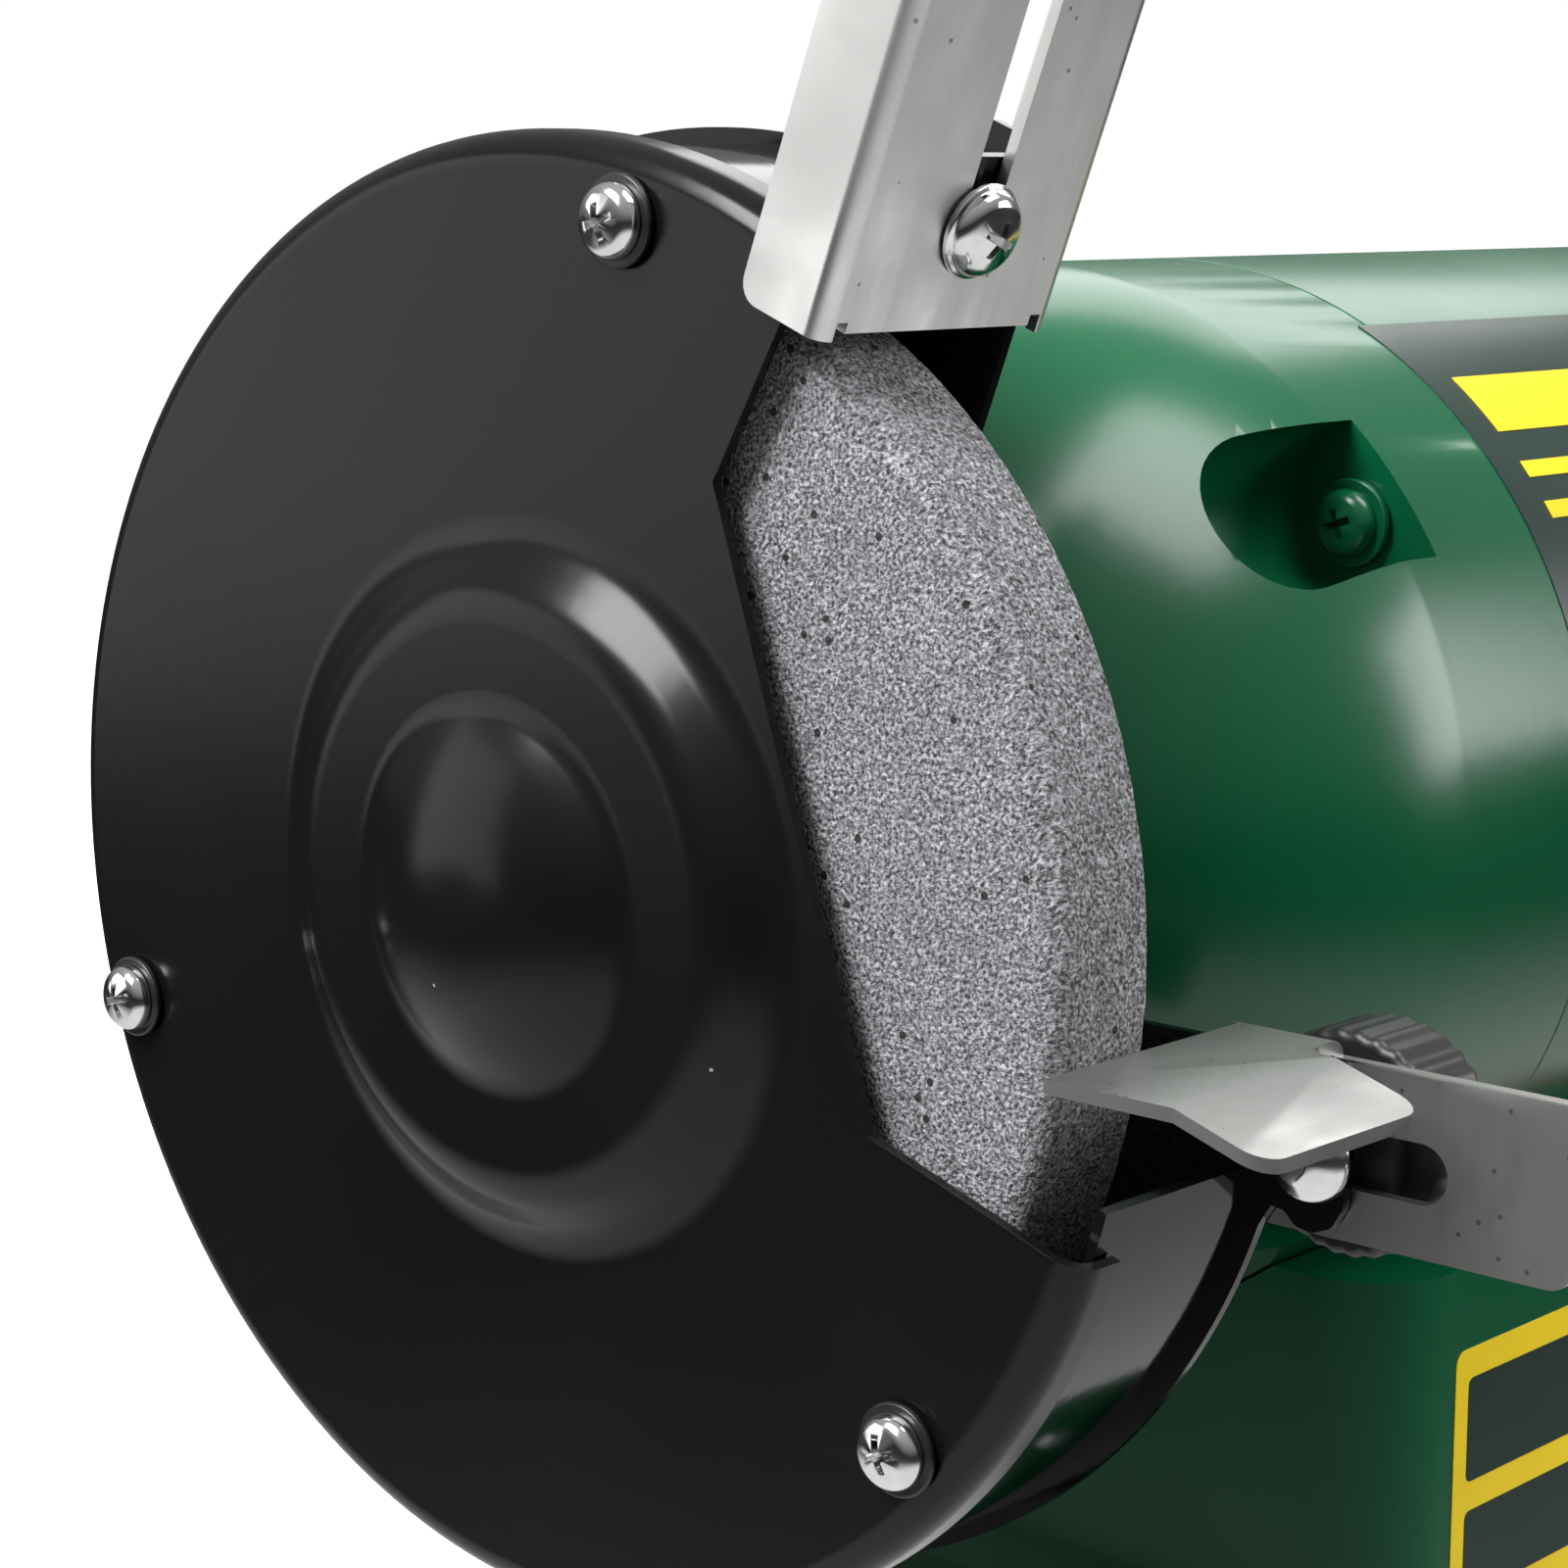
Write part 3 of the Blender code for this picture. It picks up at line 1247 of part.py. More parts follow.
def power_cord():
    """Model the free cord, the coil's outer shape and the plug."""
    exit_point = gland_frame() @ Vector((0, 0, 2 * GAP + GLAND_COLLAR + GLAND_TAIL))
    outer = COIL_RADIUS + COIL_ACROSS / 2
    beside = outer + GAP + BURIED
    end_y = COIL_CENTRE[1] - math.sqrt(beside**2 - (outer - 2 * CORD_RADIUS) ** 2)
    x = exit_point.x
    route = [exit_point]
    route += [Vector((x, exit_point.y + back, height)) for back, height in CORD_DROP]
    route.append(Vector((x, end_y, CORD_RADIUS + LYING)))
    curve = bpy.data.curves.new("power_cord", "CURVE")
    curve.dimensions = "3D"
    curve.bevel_depth = CORD_RADIUS
    curve.bevel_resolution = 2
    curve.use_fill_caps = True
    points = smooth_route(route, 5 * CORD_RADIUS)
    spline = curve.splines.new("POLY")
    spline.points.add(len(points) - 1)
    for point, place in zip(spline.points, points):
        point.co = (*place, 1)
    guide = bpy.data.objects.new("power_cord_route", curve)
    collection("cutters").objects.link(guide)
    curve_to_mesh(guide, "power_cord", "rubber")

    inner = COIL_RADIUS - COIL_ACROSS / 2
    ring = [
        (inner, LYING + COIL_HEIGHT),
        (outer, LYING + COIL_HEIGHT),
        (outer, LYING),
        (inner, LYING),
    ]
    centre = Matrix.Translation((*COIL_CENTRE, 0))
    turned("cord_coil", ring, ROUND, centre, "rubber")

    tail_radius = CORD_RADIUS + PLUG_TAIL_WALL
    plug_x = COIL_CENTRE[0] + outer - CORD_RADIUS
    tail_gap = math.sqrt(beside**2 - (plug_x - COIL_CENTRE[0] - tail_radius) ** 2)
    start = Vector((plug_x, COIL_CENTRE[1] - tail_gap, PLUG_RADIUS + LYING))
    backwards = frame(start, X_AXIS, Z_AXIS)
    profile = [
        (0, PLUG_TAIL + PLUG_LENGTH),
        (PLUG_RADIUS - PLUG_EDGE, PLUG_TAIL + PLUG_LENGTH),
        (PLUG_RADIUS, PLUG_TAIL + PLUG_LENGTH - PLUG_EDGE),
        (PLUG_RADIUS, PLUG_TAIL + PLUG_SHOULDER),
        (tail_radius + 2 * PLUG_TAIL_WALL, PLUG_TAIL),
        (tail_radius, 0),
        (0, 0),
    ]
    plug = turned("plug", profile, SMALL, backwards, "black_plastic")
    for side in (-1, 1):
        pin_frame = backwards @ Matrix.Translation((side * PIN_SPREAD, 0, 0))
        end = PLUG_TAIL + PLUG_LENGTH
        pin = bar(
            f"plug_pin_{side}", end - PAST, end + PIN_LENGTH, PIN_RADIUS, TINY, pin_frame, None
        )
        boolean(plug, pin, "UNION")


def main():
    """Build the whole machine."""
    clear_scene()
    wheel_stack()
    shaft()
    motor_inside()
    end_bell()
    through_bolts()
    guard_cover()
    cover_screws()
    inner_guard()
    spark_bracket()
    eye_shield()
    tool_rest()
    pedestal()
    switch()
    cord_gland()
    power_cord()


main()
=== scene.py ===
"""Bench grinder: the finished pieces, materials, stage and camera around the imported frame.

Lengths are metres. X runs along the motor shaft, the front faces -Y and +Z is up. What lies
outside the motor is modelled on the +X side and mirrored to -X. An inset is measured from the
flat of the guard cover towards the motor, and forward means towards -Y from the shaft.
"""
import json
import math

import bpy
from mathutils import Matrix, Vector


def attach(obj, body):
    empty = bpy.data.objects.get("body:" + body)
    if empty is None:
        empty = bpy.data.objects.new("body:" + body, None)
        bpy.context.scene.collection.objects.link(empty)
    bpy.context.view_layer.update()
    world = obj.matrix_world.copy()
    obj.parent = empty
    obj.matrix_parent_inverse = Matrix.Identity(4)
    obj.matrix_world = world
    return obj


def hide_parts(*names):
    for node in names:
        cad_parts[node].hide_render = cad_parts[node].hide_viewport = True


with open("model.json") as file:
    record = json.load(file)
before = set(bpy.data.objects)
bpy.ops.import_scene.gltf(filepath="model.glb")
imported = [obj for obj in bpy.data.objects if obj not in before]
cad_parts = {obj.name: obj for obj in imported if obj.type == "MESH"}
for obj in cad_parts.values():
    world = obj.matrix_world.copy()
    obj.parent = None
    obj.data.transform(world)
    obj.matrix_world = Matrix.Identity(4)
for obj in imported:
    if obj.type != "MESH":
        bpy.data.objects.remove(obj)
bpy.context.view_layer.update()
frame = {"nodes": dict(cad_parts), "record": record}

bl_info = {
    "name": "Bench Grinder",
    "version": (1, 0, 0),
    "blender": (4, 5, 0),
    "location": "3D View > Sidebar > Grinder",
    "description": "Models the finished pieces of a bench grinder around its frame",
    "category": "Add Mesh",
}

MM = 0.001
WELD = 0.002 * MM


def mm(*rows):
    """Return rows of millimetres as tuples of metres."""
    return [tuple(value * MM for value in row) for row in rows]


# ---------------------------------------------------------------- fixed sizes of the frame

GAP = 0.3 * MM
SHEET = 1.2 * MM
AXIS = Vector((0, 16 * MM, 127 * MM))
WHEEL_RADIUS = 75 * MM
WHEEL_WIDTH = 16 * MM
WHEEL_SETBACK = 4 * MM
ARBOR_RADIUS = 6.35 * MM
FLANGE_REACH = 30 * MM
BARREL_RADIUS = 69.5 * MM
BARREL_HALF = 66.85 * MM
COVER_X = 185 * MM
COVER_RADIUS = 85.6 * MM
COVER_SKIRT = 7 * MM
GUARD_DEPTH = 32 * MM
NOSE_X = 152.7 * MM
RIM_RADIUS = 86 * MM
BAND_RADIUS = 84.1 * MM
BAND_EDGE_INSET = 4.3 * MM
COVER_SCREWS = (("top", 77.5), ("front", -42), ("rear", -162))  # name, degrees
COVER_SCREW_CIRCLE = 77.5 * MM
COVER_SCREW_HOLE = 2 * MM
BOLTS = (("front_upper", 39), ("rear_upper", 141), ("rear_lower", 219), ("front_lower", 321))
BOLT_CIRCLE = 61.5 * MM
BOLT_SEAT_INSET = 94 * MM
SCALLOP_CIRCLE = 64.5 * MM
SCALLOP_RADIUS = 11 * MM
SCALLOP_LENGTH = 31 * MM
ARM_BOLT = (87.5 * MM, -20.5 * MM)
ARM_BOLT_HOLE = 2.9 * MM

# the bracket leans forward by its tilt; its faces and ends are placed along its own axes
BRACKET_TILT = math.radians(21.5)
BRACKET_FACE = 20.2 * MM
BRACKET_BACK = 8.2 * MM
BRACKET_SHEET = 1.4 * MM
BRACKET_LOW = 149.5 * MM
BRACKET_HIGH = 186.7 * MM
BRACKET_BOTTOM = 76.3 * MM
BRACKET_TOP = 150 * MM
BRACKET_FRONT_TOP = 130 * MM
SLOT_INSET = 18 * MM
BRACKET_SCREW_HEIGHT = 88.5 * MM
SHIELD_PIVOT = (13 * MM, 142 * MM)
SHIELD_PIVOT_HOLE = 3.3 * MM

REST_TOP = -8.2 * MM
REST_SHEET = 1.5 * MM
REST_NOTCH = COVER_X - 26.3 * MM
PEDESTAL_HALF = Vector((95.5 * MM, 60 * MM))
PEDESTAL_BOTTOM = 12.6 * MM
PEDESTAL_TOP = 71 * MM
PEDESTAL_CORNER = 12 * MM
SWITCH_HEIGHT = 42 * MM

CORD_EXIT = (-0.0474, 0.1136, 0.028)
CORD_WALL = (CORD_EXIT[0], 76 * MM, 28 * MM)
CORD_DROP = mm((0, 28), (9, 27.5), (20, 24.3), (33, 17.2), (46, 9.8), (59, 5))
CORD_FLOOR = 3.6 * MM
COIL_CENTRE_Y = 215 * MM
COIL_RADIUS = 47.4 * MM
COIL_TURNS = 5.5
COIL_LEAD = 26.73 * MM
COIL_LEAVE = 28.31 * MM
PLUG_HEIGHT = 15.1 * MM

# forward and height of each corner of the cover's opening; with an angle, far out that way
CUT_OUT = (
    (30.2 * MM, 48.4 * MM, None),
    (30.2 * MM, 48.4 * MM, 59.9),
    (180 * MM, 200 * MM, None),
    (52.6 * MM, -18.9 * MM, -17.8),
    (52.6 * MM, -18.9 * MM, None),
)

# (y, z, corner radius) from the shaft, along the arm and down to the rim
ARM_OUTLINE = mm(
    (-46, -10, 0),
    (-91.5, -10, 2.5),
    (-91.5, -25.5, 3),
    (-90, -28, 1.5),
    (-87.5, -29, 1.5),
    (-85.5, -28.6, 1),
    (-84, -27.2, 1),
    (-82.4, -27, 0),
)

# width in millimetres, then the lowest and highest angle in degrees
LABEL_BARS = ((70, 44, 52), (44, 38, 40), (56, 33, 35))
LABEL_BARS_FROM = -62.5
KNOB_RIBS = 32

SIDES = ("right", "left")

# ---------------------------------------------------------------- what a user would change


def length(name, description, default):
    """Declare a size in metres."""
    return bpy.props.FloatProperty(
        name=name, description=description, default=default, min=0, unit="LENGTH"
    )


def colour(name, description, default):
    """Declare a linear colour."""
    return bpy.props.FloatVectorProperty(
        name=name, description=description, default=default, size=3, min=0, max=1, subtype="COLOR"
    )


class GrinderSizes(bpy.types.PropertyGroup):
    """Sizes of the finish work."""

    edge: length("Edge rounding", "Rounding of cut sheet edges", 0.3 * MM)
    wheel_edge: length("Wheel edge", "Wear on the wheel's corners", 3 * MM)
    grit: length("Grit relief", "How far the wheel's grains stand out", 0.22 * MM)
    knob_rib: length("Knob ribs", "Depth of the ribs round the clamping knob", 0.35 * MM)
    cord: length("Cord thickness", "Outside diameter of the mains cord", 7 * MM)


class GrinderColours(bpy.types.PropertyGroup):
    """Colours of the finishes."""

    motor: colour("Motor enamel", "Green of the motor and pedestal", (0.001, 0.09, 0.034))
    guard: colour("Guard enamel", "Black of the guards", (0.005, 0.005, 0.0055))
    grit: colour("Wheel grit", "Grey of the abrasive", (0.215, 0.217, 0.228))
    zinc: colour("Zinc plate", "Plating of the brackets and rests", (0.93, 0.92, 0.9))
    rocker: colour("Rocker", "Plastic of the switch rocker", (0.5, 0.015, 0.015))
    label: colour("Label ground", "Ground of the motor label", (0.012, 0.03, 0.022))
    mark: colour("Label marks", "Marks on the labels", (0.85, 0.62, 0.01))


def sizes():
    """Return the scene's sizes."""
    return bpy.context.scene.grinder_sizes


def colours():
    """Return the scene's colours."""
    return bpy.context.scene.grinder_colours


# ---------------------------------------------------------------- places


def directions(origin, x_to, y_to):
    """Return the matrix that sends a shape's X and Y along these directions from origin."""
    matrix = Matrix((x_to, y_to, x_to.cross(y_to))).transposed().to_4x4()
    matrix.translation = origin
    return matrix


X_TO, Y_TO, Z_TO = Vector((1, 0, 0)), Vector((0, 1, 0)), Vector((0, 0, 1))
BRACKET_UP = Vector((0, -math.sin(BRACKET_TILT), math.cos(BRACKET_TILT)))
BRACKET_OUT = Vector((0, -math.cos(BRACKET_TILT), -math.sin(BRACKET_TILT)))
ALONG_SHAFT = directions(AXIS, Y_TO, Z_TO)
UP_BRACKET = directions(AXIS, BRACKET_OUT, X_TO)
FACING_BRACKET = directions(AXIS, X_TO, BRACKET_UP)


def at(inset):
    """Return the X of a plane this far in from the cover's flat."""
    return COVER_X - inset


def polar(radius, angle):
    """Return (y, z) from the shaft at an angle in degrees from straight ahead, towards up."""
    turn = math.radians(angle)
    return (-radius * math.cos(turn), radius * math.sin(turn))


def arc(radius, start, end, steps):
    """Return points round the shaft from one angle to another."""
    angles = (start + (end - start) * i / steps for i in range(steps + 1))
    return [Vector(polar(radius, angle)) for angle in angles]


def beside_shaft(radius, angle):
    """Return a frame along X through a point round the shaft."""
    y, z = polar(radius, angle)
    return directions(Vector((0, AXIS.y + y, AXIS.z + z)), Y_TO, Z_TO)


def on_bracket(out, height):
    """Return the point this far out from, and up, the bracket's own axes."""
    return AXIS + BRACKET_OUT * out + BRACKET_UP * height


ON_BENCH = directions(Vector((0, AXIS.y, 0)), X_TO, Y_TO)
ACROSS_SHAFT = directions(AXIS, X_TO, Z_TO)
AT_ARM_BOLT = directions(AXIS + Vector((0, -ARM_BOLT[0], ARM_BOLT[1])), Y_TO, Z_TO)
AT_SHIELD_PIVOT = directions(on_bracket(*SHIELD_PIVOT), Y_TO, Z_TO)
THROUGH_WALL = directions(Vector(CORD_WALL), Z_TO, X_TO)


def filleted(corners, steps=6, closed=False):
    """Return an outline through corners of (a, b, radius), each rounded by its radius."""
    points = []
    count = len(corners)
    for index, (a, b, radius) in enumerate(corners):
        here = Vector((a, b))
        at_end = not closed and index in (0, count - 1)
        if radius == 0 or at_end:
            points.append(here)
            continue
        before = (Vector(corners[index - 1][:2]) - here).normalized()
        after = (Vector(corners[(index + 1) % count][:2]) - here).normalized()
        half = before.angle(after) / 2
        reach = radius / math.tan(half)
        centre = here + (before + after).normalized() * (radius / math.sin(half))
        start = here + before * reach - centre
        sweep = start.angle_signed(here + after * reach - centre)
        for i in range(steps + 1):
            turned_by = start.copy()
            turned_by.rotate(Matrix.Rotation(-sweep * i / steps, 2))
            points.append(centre + turned_by)
    return points


def box_outline(low, high, radius, steps=6):
    """Return a rectangle's outline with round corners."""
    corners = ((low[0], low[1]), (high[0], low[1]), (high[0], high[1]), (low[0], high[1]))
    return filleted([(*corner, radius) for corner in corners], steps, closed=True)


def round_outline(centre, radius, steps):
    """Return a round outline."""
    turns = [math.tau * i / steps for i in range(steps)]
    return [
        Vector((centre[0] + radius * math.cos(t), centre[1] + radius * math.sin(t)))
        for t in turns
    ]


def ease(share):
    """Return a smooth step from 0 to 1."""
    share = min(1, max(0, share))
    return share * share * (3 - 2 * share)


def spaced(points, spacing):
    """Return a line's points with more between them, about this far apart."""
    line = [Vector(points[0])]
    for start, end in zip(points, points[1:]):
        start, end = Vector(start), Vector(end)
        steps = max(1, round((end - start).length / spacing))
        line += [start.lerp(end, i / steps) for i in range(1, steps + 1)]
    return line


def spaced_once(points):
    """Return a line without points that repeat the one before."""
    line = [points[0]]
    for point in points[1:]:
        if (Vector(point) - Vector(line[-1])).length > WELD:
            line.append(point)
    return line


# ---------------------------------------------------------------- modelling


def choose(obj):
    """Select one piece alone and make it active."""
    bpy.ops.object.select_all(action="DESELECT")
    obj.select_set(True)
    bpy.context.view_layer.objects.active = obj


def edit_all(obj):
    """Enter edit mode on one piece with all of it selected."""
    choose(obj)
    bpy.ops.object.mode_set(mode="EDIT")
    bpy.ops.mesh.select_all(action="SELECT")


def end_edit(place):
    """Leave edit mode and put the piece's place in its mesh."""
    bpy.ops.object.mode_set(mode="OBJECT")
    obj = bpy.context.object
    obj.matrix_world = place
    bpy.ops.object.transform_apply(location=True, rotation=True, scale=True)
    return obj


def draw_line(name, points):
    """Draw edges through points, starting from a small square that is merged to one point."""
    bpy.ops.object.select_all(action="DESELECT")
    bpy.ops.mesh.primitive_plane_add(size=MM)
    obj = bpy.context.object
    obj.name = name
    obj.data.name = name
    bpy.ops.object.mode_set(mode="EDIT")
    bpy.ops.mesh.select_mode(type="VERT")
    bpy.ops.mesh.select_all(action="SELECT")
    bpy.ops.mesh.merge(type="CENTER")
    bpy.ops.transform.translate(value=points[0])
    for start, end in zip(points, points[1:]):
        bpy.ops.mesh.extrude_region_move(TRANSFORM_OT_translate={"value": end - start})
    bpy.ops.mesh.select_all(action="SELECT")
    return obj


def turned(name, profile, steps, place, sweep=math.tau, closed=False):
    """Turn a profile of (radius, height) about its own Z, in full or over a sweep."""
    points = [Vector((radius, 0, height)) for radius, height in profile]
    if closed:
        points.append(points[0])
    draw_line(name, points)
    if closed:
        bpy.ops.mesh.remove_doubles(threshold=WELD)
        bpy.ops.mesh.select_all(action="SELECT")
    bpy.ops.mesh.spin(steps=steps, angle=-sweep, center=(0, 0, 0), axis=(0, 0, 1))
    bpy.ops.mesh.select_all(action="SELECT")
    bpy.ops.mesh.remove_doubles(threshold=WELD)
    bpy.ops.mesh.normals_make_consistent(inside=False)
    return end_edit(place)


def plate(name, outline, low, high, place):
    """Draw a flat outline, fill it and extrude it along its own Z from low to high."""
    points = [Vector((*point, low)) for point in outline]
    draw_line(name, [*points, points[0]])
    bpy.ops.mesh.remove_doubles(threshold=WELD)
    bpy.ops.mesh.select_all(action="SELECT")
    bpy.ops.mesh.edge_face_add()
    bpy.ops.mesh.extrude_region_move(TRANSFORM_OT_translate={"value": (0, 0, high - low)})
    bpy.ops.mesh.select_all(action="SELECT")
    bpy.ops.mesh.normals_make_consistent(inside=False)
    return end_edit(place)


def block(name, low, high, place):
    """Add a cube that fills a box."""
    low, high = Vector(low), Vector(high)
    bpy.ops.object.select_all(action="DESELECT")
    bpy.ops.mesh.primitive_cube_add(size=1, location=(low + high) / 2, scale=high - low)
    obj = bpy.context.object
    obj.name = name
    bpy.ops.object.transform_apply(location=True, rotation=True, scale=True)
    obj.matrix_world = place
    bpy.ops.object.transform_apply(location=True, rotation=True, scale=True)
    return obj


def rod(name, radius, start, end, steps, place):
    """Turn a plain round bar, used to drill holes."""
    return turned(name, [(0, end), (radius, end), (radius, start), (0, start)], steps, place)


def apply_modifier(obj, kind, **settings):
    """Add a modifier with its settings and apply it."""
    choose(obj)
    modifier = obj.modifiers.new(kind.lower(), kind)
    for key, value in settings.items():
        setattr(modifier, key, value)
    bpy.ops.object.modifier_apply(modifier=modifier.name)
    return obj


def combine(obj, other, operation="DIFFERENCE"):
    """Cut a piece with another or join them, and use the other up."""
    apply_modifier(obj, "BOOLEAN", object=other, operation=operation, solver="EXACT")
    bpy.data.objects.remove(other)
    return obj


def soften(obj, width, segments=3, angle=35):
    """Round a piece's sharp edges."""
    return apply_modifier(
        obj,
        "BEVEL",
        width=width,
        segments=segments,
        limit_method="ANGLE",
        angle_limit=math.radians(angle),
        use_clamp_overlap=True,
        miter_outer="MITER_ARC",
    )


def bevel_edges(obj, is_chosen, width):
    """Round the edges that a test on their two ends chooses."""
    edit_all(obj)
    bpy.ops.mesh.select_mode(type="EDGE")
    bpy.ops.mesh.select_all(action="DESELECT")
    bpy.ops.object.mode_set(mode="OBJECT")
    points = [vertex.co for vertex in obj.data.vertices]
    for edge in obj.data.edges:
        start, end = (points[index] for index in edge.vertices)
        edge.select = is_chosen(start, end)
    bpy.ops.object.mode_set(mode="EDIT")
    bpy.ops.mesh.bevel(offset=width, segments=6)
    bpy.ops.object.mode_set(mode="OBJECT")


def smooth(obj, angle=40):
    """Shade a piece smoothly, keep its flats flat and its creases crisp."""
    choose(obj)
    bpy.ops.object.shade_smooth_by_angle(angle=math.radians(angle))
    return apply_modifier(obj, "WEIGHTED_NORMAL", keep_sharp=True, weight=80)


def copied(obj, name, place):
    """Copy a piece modelled at the origin to a place, with a mesh of its own."""
    made = obj.copy()
    made.data = obj.data.copy()
    made.name = name
    made.data.name = name
    bpy.context.scene.collection.objects.link(made)
    choose(made)
    made.matrix_world = place
    bpy.ops.object.transform_apply(location=True, rotation=True, scale=True)
    return made


def mirrored(obj, name):
    """Mirror a piece to the -X side, as a piece of its own that faces outwards."""
    made = copied(obj, name, Matrix.Scale(-1, 4, X_TO))
    edit_all(made)
    bpy.ops.mesh.normals_make_consistent(inside=False)
    bpy.ops.object.mode_set(mode="OBJECT")
    return made


def dress(obj, finish, body, nodes=(), angle=40):
    """Shade a finished piece, give it its material and body, and hide the frame nodes that it
    stands for.
    """
    smooth(obj, angle)
    obj.data.materials.clear()
    obj.data.materials.append(bpy.data.materials[finish])
    if nodes:
        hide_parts(*nodes)
    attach(obj, body)
    return obj


def dress_pair(obj, finish, body, node=None, angle=40):
    """Mirror a piece of the +X side and finish both; {} in a name stands for the side."""
    stem = obj.name
    other = mirrored(obj, f"{stem}_left")
    obj.name = f"{stem}_right"
    for made, side in zip((obj, other), SIDES):
        nodes = (node.format(side),) if node else ()
        dress(made, finish, body.format(side), nodes, angle)
    return obj, other


# ---------------------------------------------------------------- shader building


def add_node(tree, kind, settings=(), **inputs):
    """Add a shader node; an input is a value or the socket that feeds it."""
    made = tree.nodes.new(kind)
    for key, value in dict(settings).items():
        setattr(made, key, value)
    for key, value in inputs.items():
        feed(tree, made.inputs[key.replace("_", " ")], value)
    return made


def feed(tree, socket, value):
    """Set a socket, or link it to the socket that feeds it."""
    if isinstance(value, bpy.types.NodeSocket):
        tree.links.new(value, socket)
    else:
        socket.default_value = value


def arithmetic(tree, operation, first, second):
    """Return the result of a Math node."""
    made = add_node(tree, "ShaderNodeMath", {"operation": operation})
    feed(tree, made.inputs[0], first)
    feed(tree, made.inputs[1], second)
    return made.outputs[0]


def between(tree, factor, first, second):
    """Return a mix of two colours."""
    made = add_node(tree, "ShaderNodeMix", {"data_type": "RGBA"})
    feed(tree, made.inputs[0], factor)
    feed(tree, made.inputs[6], first)
    feed(tree, made.inputs[7], second)
    return made.outputs[2]


def span(tree, value, low, high):
    """Return a value spread from 0..1 to low..high."""
    made = add_node(tree, "ShaderNodeMapRange", Value=value, To_Min=low, To_Max=high)
    return made.outputs[0]


def start_group(name, inputs, outputs):
    """Start a shader group with named float or vector inputs and outputs."""
    group = bpy.data.node_groups.new(name, "ShaderNodeTree")
    for label, default in inputs:
        kind = "NodeSocketVector" if isinstance(default, tuple) else "NodeSocketFloat"
        socket = group.interface.new_socket(label, in_out="INPUT", socket_type=kind)
        socket.default_value = default
    for label in outputs:
        group.interface.new_socket(label, in_out="OUTPUT", socket_type="NodeSocketFloat")
    start = group.nodes.new("NodeGroupInput")
    end = group.nodes.new("NodeGroupOutput")
    return group, start.outputs, end.inputs


def mottle_group():
    """Build the soft mottling that paint, plate and plastic share."""
    group, given, result = start_group(
        "mottle",
        (("Scale", 100.0), ("Detail", 2.0), ("Low", 0.4), ("High", 0.6), ("Stretch", (1, 1, 1))),
        ("Mask",),
    )
    place = add_node(group, "ShaderNodeTexCoord").outputs["Object"]
    mapped = add_node(group, "ShaderNodeMapping", Vector=place, Scale=given["Stretch"])
    noise = add_node(
        group,
        "ShaderNodeTexNoise",
        Vector=mapped.outputs[0],
        Scale=given["Scale"],
        Detail=given["Detail"],
    )
    mask = add_node(
        group,
        "ShaderNodeMapRange",
        Value=noise.outputs[0],
        From_Min=given["Low"],
        From_Max=given["High"],
    )
    group.links.new(mask.outputs[0], result["Mask"])
    return group


def speck_group():
    """Build scattered small dots, as of grains, dust and chips."""
    group, given, result = start_group(
        "specks", (("Scale", 1000.0), ("Size", 0.2), ("Share", 0.5)), ("Mask", "Shade")
    )
    place = add_node(group, "ShaderNodeTexCoord").outputs["Object"]
    cells = add_node(group, "ShaderNodeTexVoronoi", Vector=place, Scale=given["Scale"])
    shade = add_node(group, "ShaderNodeSeparateColor", Color=cells.outputs["Color"])
    inside = arithmetic(group, "LESS_THAN", cells.outputs["Distance"], given["Size"])
    chosen = arithmetic(group, "LESS_THAN", shade.outputs[0], given["Share"])
    group.links.new(arithmetic(group, "MULTIPLY", inside, chosen), result["Mask"])
    group.links.new(shade.outputs[1], result["Shade"])
    return group


def from_group(tree, name, output="Mask", **inputs):
    """Place a shader group with its own values and return one of its outputs."""
    group = bpy.data.node_groups[name]
    made = add_node(tree, "ShaderNodeGroup", {"node_tree": group})
    for item in group.interface.items_tree:
        if item.in_out == "INPUT":
            feed(tree, made.inputs[item.name], inputs.get(item.name, item.default_value))
    return made.outputs[output]


def new_material(name):
    """Start a material, in place of the frame's plain one, and return its tree and shader."""
    if name in bpy.data.materials:
        bpy.data.materials.remove(bpy.data.materials[name])
    made = bpy.data.materials.new(name)
    made.use_nodes = True
    return made.node_tree, made.node_tree.nodes["Principled BSDF"]


def set_shader(tree, shader, **inputs):
    """Set or feed the shader's sockets."""
    for key, value in inputs.items():
        feed(tree, shader.inputs[key.replace("_", " ")], value)


def bump(tree, height, strength, distance):
    """Return a normal raised by a height."""
    made = add_node(tree, "ShaderNodeBump", Height=height, Strength=strength, Distance=distance)
    return made.outputs[0]


def rgba(values):
    """Return a colour with its alpha."""
    return (*values, 1)


def enamel(name, base, light, low, high, dust):
    """Build a sprayed enamel with orange peel, soft unevenness and a little dust."""
    tree, shader = new_material(name)
    uneven = from_group(tree, "mottle", Scale=18.0, Detail=3.0, Low=0.3, High=0.7)
    tone = between(tree, span(tree, uneven, 0, 0.35), rgba(base), rgba(light))
    specks = from_group(tree, "specks", Scale=520.0, Size=0.12, Share=dust)
    tone = between(tree, specks, tone, rgba((0.45, 0.42, 0.38)))
    peel = from_group(tree, "mottle", Scale=420.0, Detail=1.0, Low=0.3, High=0.7)
    set_shader(
        tree,
        shader,
        Base_Color=tone,
        Roughness=span(tree, uneven, low, high),
        Normal=bump(tree, peel, 0.05, 0.1 * MM),
    )
    return shader


